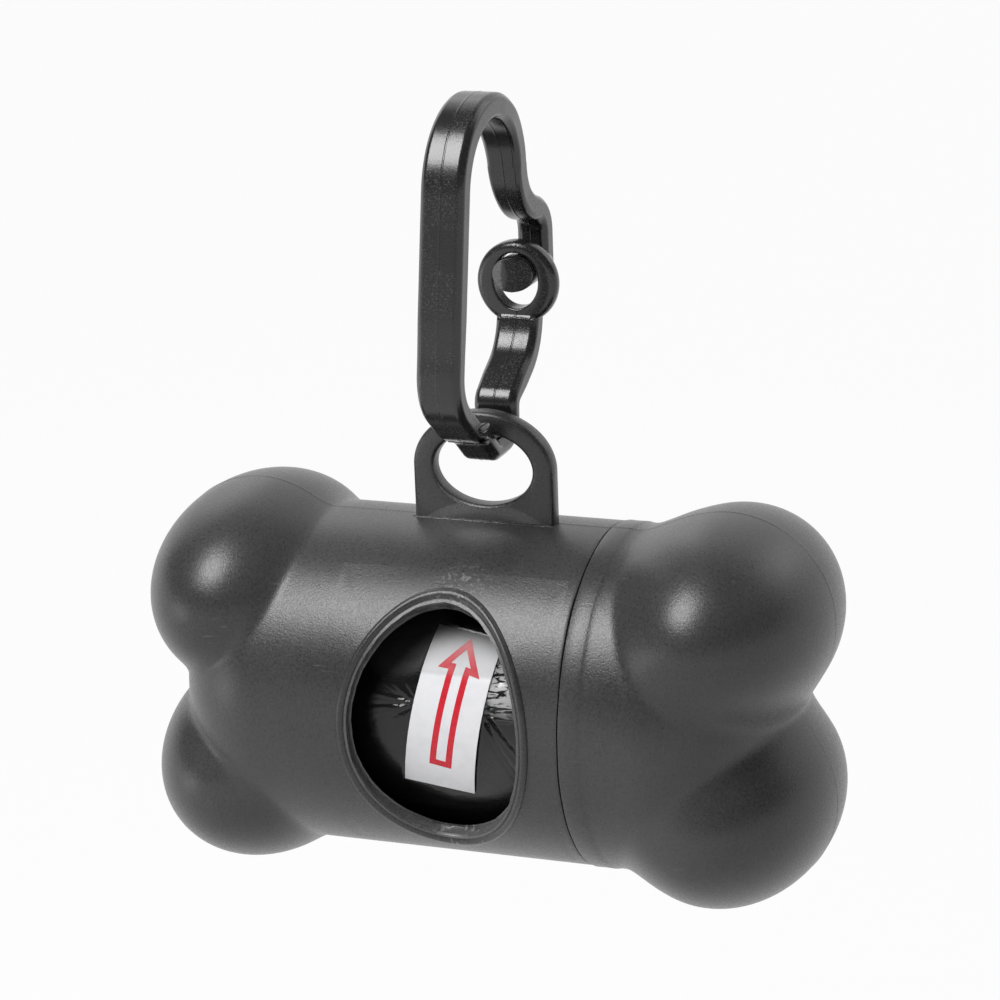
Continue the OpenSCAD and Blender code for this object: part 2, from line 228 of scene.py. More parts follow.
class Finish:
    """A material with one Principled shader."""

    def __init__(self, name):
        self.material = bpy.data.materials.new(name)
        self.material.use_nodes = True
        self.tree = self.material.node_tree
        self.shader = self.tree.nodes["Principled BSDF"]

    def node(self, kind, output, settings, *inputs, **named):
        """Adds a node: its settings first, then its inputs in order, None for one to skip, or by name."""
        made = self.tree.nodes.new(kind)
        for key, value in settings.items():
            setattr(made, key, value)
        pairs = [(made.inputs[i], value) for i, value in enumerate(inputs)]
        pairs += [(made.inputs[key.replace("_", " ")], value) for key, value in named.items()]
        for socket, value in pairs:
            self.feed(socket, value)
        return Wire(self, made.outputs[output])

    def feed(self, socket, value):
        if isinstance(value, Wire):
            self.tree.links.new(value.socket, socket)
        elif value is not None:
            socket.default_value = value

    def set(self, **values):
        for key, value in values.items():
            self.feed(self.shader.inputs[key.replace("_", " ")], value)

    def vectors(self, operation, *inputs, output=0, **named):
        return self.node("ShaderNodeVectorMath", output, dict(operation=operation), *inputs, **named)

    def place(self):
        """The point on the surface, in millimetres from the frame's origin."""
        return self.vectors("SCALE", self.node("ShaderNodeTexCoord", "Object", {}), Scale=1 / MM)

    def part(self, axis, vector):
        """One part of a vector, by the letter of its axis."""
        return self.node("ShaderNodeSeparateXYZ", axis, {}, vector)

    def stretch(self, place, x, y, z):
        return self.vectors("MULTIPLY", place, (x, y, z))

    def away(self, place, point):
        """Distance in millimetres from a point given from the middle of the bone."""
        spot = tuple(float(v) for v in np.asarray(point, float) + BONE)
        return self.vectors("DISTANCE", place, spot, output=1)

    def noise(self, place, scale, detail=2.0, roughness=0.5, distortion=0.0):
        return self.node(
            "ShaderNodeTexNoise", 0, {},
            Vector=place, Scale=scale, Detail=detail, Roughness=roughness, Distortion=distortion,
        )

    def blend(self, amount, a, b):
        """Colour a where amount is 0 and b where it is 1; five sockets for other kinds are skipped."""
        return self.node("ShaderNodeMix", 2, dict(data_type="RGBA"), amount, *[None] * 5, a, b)

    def bump(self, height, depth_mm, strength):
        depth = depth_mm * MM
        self.set(Normal=self.node("ShaderNodeBump", 0, {}, Height=height, Distance=depth, Strength=strength))


def grey(value):
    return (value, value, value, 1.0)


print("made the helpers", Finish.__name__, "and", grey.__name__)

# %% [markdown]
# ## The case's plastic
#
# Blow-moulded polyethylene comes out of a sand-blasted mould with a fine, satin
# grain. It is charcoal rather than black, slightly blotchy where the soft tube it
# was blown from stretched, and it scuffs to a paler grey: in thin scratches, in
# small chips above and below the window, and along the trimmed edge of the window
# itself. One plain grey would look like a toy, and a painted image would have to
# be fitted to every piece. So noise of three sizes makes the shade, and each kind
# of wear is a mask that is 1 only where the case gets rubbed.

# %% Satin charcoal plastic
WINDOW = (-0.3, 0.15)
WINDOW_HALF = np.array([10.05, 13.65])
CHIPPED = (1.0, -12.8, 15.4)
NICKED = (0.5, -13.5, -14.6)


def round_window(f, place):
    """1 on the window's edge, less inside it and behind the bone's axis, more outside."""
    x, y, z = (float(v) for v in BONE)
    spot = f.vectors("SUBTRACT", place, (x + WINDOW[0], y, z + WINDOW[1]))
    flat = f.stretch(spot, 1 / float(WINDOW_HALF[0]), 0.0, 1 / float(WINDOW_HALF[1]))
    return f.vectors("LENGTH", flat, output=1) * f.part("Y", spot).within(0.0, -2.0)


def satin_plastic():
    f = Finish("satin_charcoal_plastic")
    place = f.place()
    clouds = f.noise(place, 0.07, detail=3.0)
    grain = f.noise(place, 3.2, detail=3.0, roughness=0.7)
    speckle = f.noise(place, 4.4, detail=2.0, roughness=0.8)
    shade = clouds.within(0.3, 0.7) * 0.35 + grain.within(0.3, 0.7) * 0.4 + speckle.within(0.55, 0.75) * 0.45
    base = f.blend(shade.clamped(), grey(0.028), grey(0.072))
    scratch = f.noise(f.stretch(place, 0.3, 1.0, 3.4), 1.3, detail=3.0, distortion=0.6)
    rubbed = f.noise(place, 0.12, detail=2.0).within(0.52, 0.7)
    scuff = scratch.within(0.64, 0.74) * rubbed
    above_window = f.away(place, CHIPPED).within(5.0, 1.0)
    below_window = f.away(place, NICKED).within(5.5, 1.5)
    chips = f.noise(place, 1.9, detail=4.0, roughness=0.7).within(0.52, 0.62) * above_window
    nicks = f.noise(f.stretch(place, 2.2, 1.0, 0.6), 1.1, detail=3.0).within(0.58, 0.66) * below_window
    edge = round_window(f, place)
    trimmed = edge.within(1.033, 1.02) * edge.within(0.94, 0.985) * speckle.within(0.25, 0.6)
    worn = (scuff * 0.22 + chips * 0.5 + nicks * 0.5 + trimmed * 0.25).clamped()
    f.set(
        Base_Color=f.blend(worn, base, grey(0.33)),
        Roughness=0.26 + grain.within(0.3, 0.7) * 0.09 + worn * 0.15,
        Specular_IOR_Level=0.5,
    )
    f.bump(grain * 0.35 + speckle * 0.8 + scratch * 0.04, 0.06, 0.6)
    return f.material


CASE_PLASTIC = satin_plastic()
print("made", CASE_PLASTIC.name)

# %% [markdown]
# ## The carabiner's plastic
#
# The carabiner is injection moulded in glossy acetal. It is nearly black and
# mirrors the lights along its bevels, but the mould's texture shows as small dull
# specks where the gloss breaks up. A lower roughness alone would make it look
# wet, so the specks are a mask that dulls and lightens the plastic in patches.

# %% Glossy black plastic


def glossy_plastic():
    f = Finish("glossy_black_plastic")
    place = f.place()
    specks = f.noise(place, 4.5, detail=3.0, roughness=0.7)
    patches = f.noise(place, 0.22, detail=2.0).within(0.4, 0.56)
    dull = (specks.within(0.5, 0.72) * patches).clamped()
    f.set(
        Base_Color=f.blend(dull, grey(0.016), grey(0.06)),
        Roughness=0.2 + dull * 0.28 + specks.within(0.3, 0.7) * 0.05,
        Specular_IOR_Level=0.55,
        Coat_Weight=0.15,
        Coat_Roughness=0.12,
    )
    f.bump(specks + patches * 0.3, 0.04, 0.35)
    return f.material


CLIP_PLASTIC = glossy_plastic()
print("made", CLIP_PLASTIC.name)

# %% [markdown]
# ## Film
#
# The bags are thin polyethylene film with a strong shine that breaks into small
# creases. The large pleats are in the mesh, where they catch the light, and only
# the crinkle between them is a bump. Beside the label the film is pulled tight
# until it shines like foil. That shine is a painted reflection: pale streaks in
# the film's colour, because mirrored lamps alone would come and go with the view.

# %% Black film
# The middle of the pale streaks that are painted on as a reflection beside the label.
PAINTED_SHEEN_SPOT = (6.6, -14.2, 4.6)
RUBBED_DULL = (8.5, -14.5, -5.5)
SLACK = (-7.0, -11.0, 10.5)


def black_film():
    f = Finish("black_bag_film")
    place = f.place()
    crinkle = f.noise(f.stretch(place, 0.5, 1.3, 1.3), 0.7, detail=3.0, roughness=0.55, distortion=0.8)
    fine = f.noise(place, 3.5, detail=2.0)
    # Painted sheen: the place where the film's colour is made pale to stand in for its shine.
    painted_sheen = f.away(place, PAINTED_SHEEN_SPOT).within(4.2, 1.2)
    streaky = f.noise(f.stretch(place, 0.5, 1.0, 1.6), 0.7, detail=2.0, roughness=0.6, distortion=2.0)
    dull = f.away(place, RUBBED_DULL).within(7.0, 2.0)
    slack = f.away(place, SLACK).within(7.5, 4.5)
    film = f.blend(crinkle.within(0.3, 0.7), grey(0.004), grey(0.009))
    film = f.blend(dull * 0.35, film, grey(0.06))
    # Painted reflection: pale streaks in the colour beside the label stand in for the film's foil-like shine.
    f.set(
        Base_Color=f.blend((painted_sheen * streaky.within(0.42, 0.52)).clamped(), film, grey(0.5)),
        Roughness=0.15 + fine.within(0.3, 0.7) * 0.08 + dull * 0.15 + slack * 0.5,
        Specular_IOR_Level=0.45,
    )
    f.bump(crinkle + fine * 0.05, 0.15, 0.3)
    return f.material


FILM = black_film()
print("made", FILM.name)

# %% [markdown]
# ## Paper, ink and board
#
# The start label is smooth paper that has taken up a little grime, with a red
# arrow printed on it. Above a fold it leans back under the window's edge into its
# shade, and that shade is painted: both the paper and the ink darken with height
# there. The core that the bags are wound on is plain brown board with fibres
# along its turns.

# %% Paper, ink and board
FOLD_LOW = 5.3
FOLD_HIGH = 5.8
SHADE_TOP = 10.2


def painted_shade_above_fold(f, place):
    """Painted shade: 0 below the fold across the label, and 1 at the label's top, under the window's edge."""
    height = f.part("Z", place) - float(BONE[2])
    return height.within(FOLD_LOW, FOLD_HIGH) * 0.3 + height.within(FOLD_HIGH, SHADE_TOP) * 0.7


def label_paper():
    f = Finish("label_paper")
    place = f.place()
    fibres = f.noise(place, 5.0, detail=3.0, roughness=0.7)
    grime = f.noise(place, 0.5, detail=3.0).within(0.45, 0.75)
    soiled = grime * 0.25 + fibres.within(0.4, 0.7) * 0.12
    paper = f.blend(soiled, (0.9, 0.9, 0.93, 1), (0.7, 0.7, 0.71, 1))
    # Painted shade: the paper turns grey with height above the fold, where the window's edge shades it.
    f.set(
        Base_Color=f.blend(painted_shade_above_fold(f, place) * 0.94, paper, grey(0.05)),
        Roughness=0.38 + fibres * 0.12,
    )
    f.bump(fibres, 0.02, 0.4)
    return f.material


def arrow_ink():
    f = Finish("red_arrow_ink")
    place = f.place()
    patchy = f.noise(place, 2.6, detail=4.0, roughness=0.7)
    red = f.blend(patchy.within(0.35, 0.7), (0.74, 0.012, 0.035, 1), (0.6, 0.006, 0.02, 1))
    # Painted shade: the ink turns a darker red with height above the fold, under the window's edge.
    f.set(
        Base_Color=f.blend(painted_shade_above_fold(f, place) * 0.8, red, (0.2, 0.0, 0.008, 1)),
        Roughness=0.36 + patchy * 0.1,
    )
    return f.material


def brown_board():
    f = Finish("brown_core_board")
    place = f.place()
    fibres = f.noise(f.stretch(place, 0.6, 3.0, 3.0), 1.2, detail=4.0, roughness=0.7)
    f.set(
        Base_Color=f.blend(fibres.within(0.3, 0.7), (0.36, 0.24, 0.14, 1), (0.52, 0.38, 0.24, 1)),
        Roughness=0.82 + fibres * 0.1,
    )
    f.bump(fibres, 0.06, 0.6)
    return f.material


PAPER = label_paper()
INK = arrow_ink()
BOARD = brown_board()
print("made", PAPER.name, INK.name, BOARD.name)

# %% [markdown]
# ## The camera
#
# The dispenser is seen from a little above and to the right of its front, from
# less than half a metre away, which makes the near end of the bone look larger. A
# camera could be turned by its Euler angles, but roll and aim get mixed up in
# them. So it is built from directions: `back` points from the bone to the lens,
# and `right` and `up` are the picture's own.

# %% Camera
# Lengths are in millimetres, apart from FARTHEST, which is in metres. FOCAL is in
# widths of the sensor.
AZIMUTH = math.radians(21.721)
ELEVATION = math.radians(16.639)
ROLL = math.radians(-2.071)
DISTANCE = 424.988
FOCAL = 3.723465
ASIDE = -0.295
BELOW = 20.713
FARTHEST = 10.0

ca, sa = math.cos(AZIMUTH), math.sin(AZIMUTH)
ce, se = math.cos(ELEVATION), math.sin(ELEVATION)
back = np.array([sa * ce, -ca * ce, se])
level = np.array([ca, sa, 0.0])
above = np.cross(back, level)
right = math.cos(ROLL) * level + math.sin(ROLL) * above
up = -math.sin(ROLL) * level + math.cos(ROLL) * above

camera_data = bpy.data.cameras.new("camera")
camera = bpy.data.objects.new("camera", camera_data)
bpy.context.scene.collection.objects.link(camera)
camera_data.lens = FOCAL * camera_data.sensor_width
camera_data.clip_end = FARTHEST
spot = to_frame(back * DISTANCE - right * ASIDE + up * BELOW)
axes = Matrix([right, up, back]).transposed().to_4x4()
camera.matrix_world = Matrix.Translation(Vector(spot)) @ axes
bpy.context.scene.camera = camera
print("camera", [round(v, 4) for v in spot], "lens", round(camera_data.lens, 1))

# %% [markdown]
# ## The floor
#
# The dispenser hangs in the air, as it does from a lead, over a plain pale floor
# that bends up into a wall behind it. A far dish closes the view all round, for a
# camera that looks from the side or from low down. Glossy plastic mirrors its
# surroundings, so the floor's material shows white to the camera and to
# reflections, by the kind of the ray, and keeps a little of its own shading, which
# holds the shadow. A brighter lamp would turn it white too, but would bleach the
# object with it.

# %% Pale backdrop


def pale_backdrop():
    f = Finish("pale_backdrop")
    f.set(Base_Color=grey(0.9), Roughness=0.9)
    glow = f.node("ShaderNodeEmission", 0, {}, Color=grey(1.0), Strength=1.0)
    kinds = ("Is Camera Ray", "Is Glossy Ray", "Is Transmission Ray")
    seen = sum(f.node("ShaderNodeLightPath", kind, {}) for kind in kinds)
    shader = Wire(f, f.shader.outputs[0])
    mixed = f.node("ShaderNodeMixShader", 0, {}, seen.clamped() * 0.95, shader, glow)
    f.feed(f.tree.nodes["Material Output"].inputs[0], mixed)
    return f.material


BACKDROP = pale_backdrop()
print("made", BACKDROP.name)

# %% Floor and wall
# Lengths in this cell and the next are in metres.
FLOOR_Z = -0.16
FLOOR_REACH = 1.6
BACK_Y = 0.8
BACK_TOP = 1.4
BACK_BEND = 0.3


def upward_bend(start, radius, turn, steps):
    """Points (out, up) round a bend that starts level."""
    turns = np.linspace(0, turn, steps)
    return [(start + radius * math.sin(t), radius * (1 - math.cos(t))) for t in turns]


def stage_sheet(name, points, faces):
    """A sheet around the object, from points with their heights above the floor."""
    mesh = bpy.data.meshes.new(name)
    mesh.from_pydata([(x, y, FLOOR_Z + z) for x, y, z in points], [], faces)
    mesh.materials.append(BACKDROP)
    sheet = bpy.data.objects.new(name, mesh)
    bpy.context.scene.collection.objects.link(sheet)
    return sheet


bend = upward_bend(BACK_Y - BACK_BEND, BACK_BEND, math.pi / 2, 13)
profile = [(-FLOOR_REACH, 0.0)] + bend + [(BACK_Y, BACK_TOP - FLOOR_Z)]
corners = [(x, y, z) for y, z in profile for x in (-FLOOR_REACH, FLOOR_REACH)]
quads = [(2 * i, 2 * i + 1, 2 * i + 3, 2 * i + 2) for i in range(len(profile) - 1)]
floor = stage_sheet("floor", corners, quads)
print("floor at", FLOOR_Z, "m, wall up to", BACK_TOP, "m")

# %% Far dish
DISH_DROP = 0.004
DISH_FROM = 0.4
DISH_REACH = 7.0
DISH_BEND = 1.4
DISH_TILT = 1.3
SPOKES = 48

rim = [(DISH_FROM, 0.0)] + upward_bend(DISH_REACH, DISH_BEND, DISH_TILT, 7)
spokes = np.linspace(0, 2 * math.pi, SPOKES, endpoint=False)
rings = [(r * math.cos(a), r * math.sin(a), z - DISH_DROP) for r, z in rim for a in spokes]
dish = []
for k in range(0, SPOKES * (len(rim) - 1), SPOKES):
    for i in range(SPOKES):
        j = (i + 1) % SPOKES
        dish.append((k + i, k + j, k + SPOKES + j, k + SPOKES + i))
far_dish = stage_sheet("floor_dish", rings, dish)
print("dish out to", round(rim[-1][0], 2), "m")

# %% [markdown]
# ## The lights
#
# Black plastic shows its form by the highlights on it, and their size and softness
# come from the size of the lamps. The key is a large soft panel above and to the
# left of the front, which leaves one round glow on each lobe and a long one down
# the tube. A weak panel low on the left lifts the undersides, and two weaker ones
# behind draw the edges. Small strong lamps would give hard white dots.

# %% Lights
LAMP_AWAY = 520
ROOM_STRENGTH = 0.145


def panel(name, azimuth, elevation, size, power):
    """A soft panel aimed at the bone: azimuth from its front, to the right, in degrees."""
    light = bpy.data.lights.new(name, "AREA")
    light.shape = "RECTANGLE"
    light.size, light.size_y = (s * MM for s in size)
    light.energy = power
    lamp = bpy.data.objects.new(name, light)
    bpy.context.scene.collection.objects.link(lamp)
    a, e = math.radians(azimuth), math.radians(elevation)
    way = np.array([math.sin(a) * math.cos(e), -math.cos(a) * math.cos(e), math.sin(e)])
    lamp.location = Vector(to_frame(way * LAMP_AWAY))
    lamp.rotation_euler = Vector(-way).to_track_quat("-Z", "Y").to_euler()
    return lamp


panel("key_panel", -31, 56, (250, 280), 2.6)
panel("low_left_panel", -60, -12, (220, 220), 0.35)
panel("back_left_panel", -140, 35, (220, 220), 0.1)
panel("back_right_panel", 140, 35, (220, 220), 0.15)

world = bpy.data.worlds.new("room")
bpy.context.scene.world = world
world.use_nodes = True
dim = world.node_tree.nodes["Background"]
dim.inputs[0].default_value = grey(1.0)
dim.inputs[1].default_value = ROOM_STRENGTH
bpy.context.scene.view_settings.view_transform = "Standard"
print(len(bpy.data.lights), "lamps in a room of strength", ROOM_STRENGTH)

# %% [markdown]
# ## The shape of the bone
#
# The bone is a tube with a rounded end behind each pair of egg-shaped lobes. Each
# of those forms is easy to describe by how far it reaches from the axis in a given
# direction, so the whole bone is the farthest of them. Taking the plain maximum
# leaves knife-sharp creases, which blow moulding can't make: the air pushes the
# plastic only so far into a corner. A rounded maximum fills each crease with a
# small fillet, with no remeshing and no blur on the rest.

# %% How far the bone reaches
TUBE_R = 19.5
DOME_X = 22.1
DOME_L = 14.0
LOBE_Z = 10.4
LOBE_HALF_D = 18.6
# How far from a crease its fillet starts, by side: -1 for the body and 1 for the cap.
CREASE = {-1: 1.3, 1: 3.2}


def reach_of_egg(start, way, centre, half):
    """How far a ray goes before it leaves an ellipsoid, or a large negative number if it misses."""
    o = (start - centre) / half
    d = way / half
    a = (d * d).sum(-1)
    b = (o * d).sum(-1)
    c = (o * o).sum(-1) - 1
    inside = b * b - a * c
    return np.where(inside > 0, (-b + np.sqrt(np.maximum(inside, 0))) / a, -1e3)


def rounded_max(a, b, k):
    """The larger of two reaches, with a fillet where they are less than k apart."""
    near = np.clip(k - np.abs(a - b), 0, k) / k
    return np.maximum(a, b) + near * near * k / 4


def bone_reach(start, way, side, inset):
    """Reach of the bone's surface, less a wall, from points on the axis along unit directions."""
    on_tube = (start[:, 0] * side <= DOME_X) & (np.abs(way[:, 0]) < 1e-9)
    radius = TUBE_R - inset
    dome_half = np.array([DOME_L - inset, radius, radius])
    lobe_half = np.array([LOBE_R - inset, LOBE_HALF_D - inset, LOBE_R - inset])
    dome = reach_of_egg(start, way, np.array([side * DOME_X, 0, 0]), dome_half)
    body = np.where(on_tube, radius, dome)
    for end in (-1, 1):
        lobe = reach_of_egg(start, way, np.array([side * LOBE_X, 0, end * LOBE_Z]), lobe_half)
        body = rounded_max(body, lobe, CREASE[side])
    return body


middle_reach = bone_reach(np.zeros((1, 3)), np.array([[0.0, 0.0, 1.0]]), 1, 0.0)
print("the bone reaches", middle_reach.round(2), "mm upwards at its middle")

# %% [markdown]
# ## Rows along the bone
#
# From the waist's tip the rows open like an umbrella until they stand square to
# the axis, and then they march along the tube. Both halves and both sides of the
# wall use the same rows, so the wall stays even and the seams line up. Where the
# mould's halves met, at the top and underneath, a thin parting line stands up.
# It is narrower than the columns are apart, so a few extra columns bracket it.

# %% Columns round the axis
COLUMNS = 232
PARTING_H = 0.055
PARTING_W = 0.2
BESIDE_PARTING = (-0.35, -0.2, -0.08, 0.08, 0.2, 0.35)

even = np.linspace(0, 2 * math.pi, COLUMNS, endpoint=False)
extra = [math.pi / 2 * quarter + off / TUBE_R for quarter in (1, 3) for off in BESIDE_PARTING]
THETA = np.unique(np.round(np.concatenate([even, extra]), 6))
ACROSS = np.stack([0 * THETA, -np.cos(THETA), np.sin(THETA)], axis=1)


def parting(theta):
    """Height of the parting line at an angle from the front, upwards."""
    off = np.abs((theta + math.pi) % math.pi - math.pi / 2) * TUBE_R
    return PARTING_H * np.clip(1 - off / PARTING_W, 0, 1)


print("the bone has", len(THETA), "columns")

# %% Rows of one half
TURN_X = 25.0
END_ROWS = 58
INNER_END_ROWS = 40


def square_row(x, side, inset=0.0):
    """A row square to the axis, x out from the middle."""
    start = np.tile([side * x, 0.0, 0.0], (len(THETA), 1))
    radius = bone_reach(start, ACROSS, side, inset)
    if inset == 0:
        radius = radius + parting(THETA)
    return start + ACROSS * radius[:, None]


def leaning_row(angle, side, inset=0.0):
    """A row that leans away from square by an angle, towards the end of the bone."""
    way = ACROSS * math.cos(angle) + np.array([side * math.sin(angle), 0, 0])
    start = np.tile([side * TURN_X, 0.0, 0.0], (len(THETA), 1))
    radius = bone_reach(start, way, side, inset)
    if inset == 0:
        radius = radius + parting(THETA) * math.cos(angle)
    return start + way * radius[:, None]


def bone_end(skin, side, inset=0.0, steps=END_ROWS):
    """Rows from just off the tip to square, with the tip closed."""
    angles = np.linspace(math.pi / 2, 0, steps + 1)[1:]
    made = skin.rows([leaning_row(a, side, inset) for a in angles])
    turn = np.array([[side * TURN_X, 0.0, 0.0]])
    far = bone_reach(turn, np.array([[side * 1.0, 0.0, 0.0]]), side, inset)[0]
    skin.cap(made[0], (side * (TURN_X + far), 0, 0))
    return made[-1]


def ring_row(x, radius):
    """A plain round row, for the tube, the neck and the collar."""
    return np.tile([x, 0.0, 0.0], (len(THETA), 1)) + ACROSS * np.asarray(radius)[..., None]


print("a bone's end has", END_ROWS, "rows outside and", INNER_END_ROWS, "inside")

# %% [markdown]
# ## The window
#
# The window is cut with a die after moulding, inside a raised bead that stops it
# from tearing. The die leaves a thin, slightly ragged lip. A boolean cut would
# leave long thin faces around the hole, and they would show as streaks in the
# highlight. So the faces around it are laid like the rings of an onion: oval at
# the edge of the hole, and little by little the shape of the square patch that
# they fill in the tube's rows and columns.

# %% The window's rim
RIM_W = 1.32
RIM_H = 0.5
LIP_W = 0.32
LIP_H = 0.14
RAGGED = 0.05


def bead(distance):
    """Height of the lip and the raised rim at a distance from the edge of the hole."""
    u = np.clip((distance - LIP_W) / (RIM_W - LIP_W), 0, 1)
    return LIP_H * (distance < LIP_W) + RIM_H * np.sin(math.pi * u) ** 0.75


def oval_on_tube(turn, distance, radius, ragged=0.0):
    """Points on the tube around the window, a distance outside its edge, and their angles."""
    waves = np.sin(17 * turn + 0.4) * 0.5 + np.sin(41 * turn) * 0.3 + np.sin(83 * turn + 2) * 0.2
    half = WINDOW_HALF + distance
    x = WINDOW[0] + (half[0] + ragged * waves) * np.cos(turn)
    z = WINDOW[1] + (half[1] + ragged * waves) * np.sin(turn)
    angle = np.arcsin(np.clip(z / TUBE_R, -1, 1))
    return np.stack([x, -radius * np.cos(angle), radius * np.sin(angle)], axis=1), angle


print("the rim is", RIM_W, "mm wide and", RIM_H, "mm high")

# %% The patch around the window
PATCH_X = (-13.6, 13.2)
PATCH_TURN = 1.0
OUTSIDE_RINGS = (
    0.0, 0.08, 0.26, 0.3, 0.36, 0.44, 0.56, 0.72, 0.88, 1.0, 1.12, 1.22, 1.28, 1.32, 1.4, 1.6,
)
INSIDE_RINGS = (0.0, 0.5, 1.5)
BLENDED_RINGS = (0.25, 0.5, 0.75)
LIP_END = 0.2


def patch_loop(rows, columns):
    """Numbers of the points around the square hole left for the patch, anticlockwise from the right."""
    right, left = rows[-1], rows[0]
    first, last = columns
    count = len(THETA)
    span = [(first + i) % count for i in range((last - first) % count + 1)]
    loop = [right[c] for c in span]
    loop += [row[span[-1]] for row in reversed(rows[:-1])]
    loop += [left[c] for c in reversed(span[:-1])]
    loop += [row[span[0]] for row in rows[1:-1]]
    return loop


def onion(skin, loop, radius, outside):
    """Rings of faces between the square loop and the oval hole; gives back the hole's ring and its turns."""
    corner = np.array([skin.points[i] for i in loop])
    angle = np.arctan2(corner[:, 2], -corner[:, 1])
    upwards = (TUBE_R * np.sin(angle) - WINDOW[1]) / WINDOW_HALF[1]
    turn = np.arctan2(upwards, (corner[:, 0] - WINDOW[0]) / WINDOW_HALF[0])
    rings = []
    for distance in OUTSIDE_RINGS if outside else INSIDE_RINGS:
        height = bead(distance) if outside else 0.0
        ragged = RAGGED if distance < LIP_END else 0.0
        points, oval_angle = oval_on_tube(turn, distance, radius + height, ragged)
        rings.append(points)
    oval_x = points[:, 0]
    for share in BLENDED_RINGS:
        x = oval_x * (1 - share) + corner[:, 0] * share
        a = oval_angle * (1 - share) + angle * share
        rings.append(np.stack([x, -radius * np.cos(a), radius * np.sin(a)], axis=1))
    made = [skin.row(points) for points in rings] + [loop]
    for a, b in zip(made, made[1:]):
        if outside:
            a, b = b, a
        skin.strip(a, b)
    return made[0], turn


print("the window's rim is made of", len(OUTSIDE_RINGS), "rings")

# %% [markdown]
# ## The body of the case
#
# The body is one skin: up the outside from the left tip to the seam, down over the
# neck that the cap pushes onto, and back along the inside of the wall. A Solidify
# modifier could give the wall, but it would thicken the neck and the window's lip
# in the same way. Drawing the inside too keeps each of them as it is moulded, and
# it is what shows through the window and when the cap is off.

# %% Rows along the tube
WALL = 1.4
OUTER_STEP = 0.55
INNER_STEP = 1.0
PATCH_ROWS = 42
SEAM_X = 14.5
SEAM_GAP = 0.15
EDGE = 0.12


def tube_row(x, inset):
    """A row of the body: left of the middle the lobes may show, and right of it the tube is plain."""
    if x < 0:
        return square_row(-x, -1, inset)
    return ring_row(x, TUBE_R - inset + (parting(THETA) if inset == 0 else 0))


def tube_rows(skin, x_from, x_to, step, inset):
    """Rows along the body, with the patch around the window filled like an onion."""
    xs = np.concatenate([
        np.arange(x_from, PATCH_X[0], step),
        np.linspace(*PATCH_X, PATCH_ROWS),
        np.linspace(PATCH_X[1], x_to, 4)[1:],
    ])
    made = [skin.row(tube_row(x, inset)) for x in xs]
    count = len(THETA)
    first = int(np.searchsorted(THETA, 2 * math.pi - PATCH_TURN))
    last = int(np.searchsorted(THETA, PATCH_TURN))
    inside = {(first + i) % count for i in range((last - first) % count)}
    patch = [i for i, x in enumerate(xs) if PATCH_X[0] - 1e-6 <= x <= PATCH_X[1] + 1e-6]
    for i in range(len(made) - 1):
        for c in range(count):
            if i in patch[:-1] and c in inside:
                continue
            d = (c + 1) % count
            skin.faces.append((made[i][c], made[i][d], made[i + 1][d], made[i + 1][c]))
    loop = patch_loop([made[i] for i in patch], (first, last))
    hole, turn = onion(skin, loop, TUBE_R - inset, inset == 0)
    return made, hole, turn


def seam_wave(amount):
    """How far the seam strays from straight, round the axis: the cap is cut off by hand."""
    return amount * (np.sin(3 * THETA + 1) * 0.5 + np.sin(7 * THETA) * 0.3 + np.sin(19 * THETA + 2) * 0.2)


print("the seam is at", SEAM_X, "mm, with a gap of", SEAM_GAP, "mm")

# %% Body of the case
NECK_R = 18.23
NECK_BORE = 17.03
NECK_L = 8.0
MOUTH = SEAM_X + NECK_L
BODY_WAVE = 0.07
SEAM = SEAM_X - SEAM_GAP
SEAM_EDGE = [(SEAM - EDGE * 0.3, TUBE_R - EDGE * 0.3), (SEAM, TUBE_R - EDGE), (SEAM, NECK_R + 0.1)]
NECK_PROFILE = [
    (SEAM + 0.3, NECK_R), (SEAM_X + 3, NECK_R), (MOUTH - 0.5, NECK_R), (MOUTH - 0.12, NECK_R - 0.3),
    (MOUTH, NECK_R - 0.55), (MOUTH, NECK_BORE + 0.2), (MOUTH - 0.2, NECK_BORE), (SEAM_X + 3, NECK_BORE),
    (SEAM - WALL, NECK_BORE), (SEAM - WALL, TUBE_R - WALL),
]
CUT_PROFILE = [(-0.03, 0.0), (0.02, 0.4), (0.12, 0.6), (0.16, WALL - 0.15)]


def wavy_ring(x, radius, wave):
    """A round row that strays along the axis by a wave, or stays straight at 0."""
    row = ring_row(x, np.full(len(THETA), radius))
    row[:, 0] += wave
    return row


def case_body():
    skin = Skin()
    left_end = bone_end(skin, -1)
    outer, outer_hole, turn = tube_rows(skin, OUTER_STEP - TURN_X, SEAM - EDGE, OUTER_STEP, 0.0)
    skin.strip(left_end, outer[0])
    wave = seam_wave(BODY_WAVE)
    mouth = [wavy_ring(x, radius, wave) for x, radius in SEAM_EDGE]
    mouth += [wavy_ring(x, radius, 0) for x, radius in NECK_PROFILE]
    last = skin.onwards(outer[-1], mouth)
    inner_end = bone_end(skin, -1, WALL, INNER_END_ROWS)
    inner, inner_hole, _ = tube_rows(skin, INNER_STEP - TURN_X, SEAM - WALL - 0.1, INNER_STEP, WALL)
    skin.strip(inner_end, inner[0])
    skin.strip(inner[-1], last)
    cut = [oval_on_tube(turn, distance, TUBE_R - depth, RAGGED)[0] for distance, depth in CUT_PROFILE]
    skin.strip(skin.onwards(outer_hole, cut), inner_hole)
    return skin


body = piece("case_body", case_body(), "case", CASE_PLASTIC, "case")
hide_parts("shell")

# %% [markdown]
# ## The end cap
#
# The cap is the bone's right end, cut off at the seam and pushed over the neck. Its
# collar is a little wider than the tube, and its cut edge is rounded and not quite
# straight. It could be made with the body and split off, but it slides on a joint
# of its own and shows its inside when it is off, so it is a closed skin by itself.

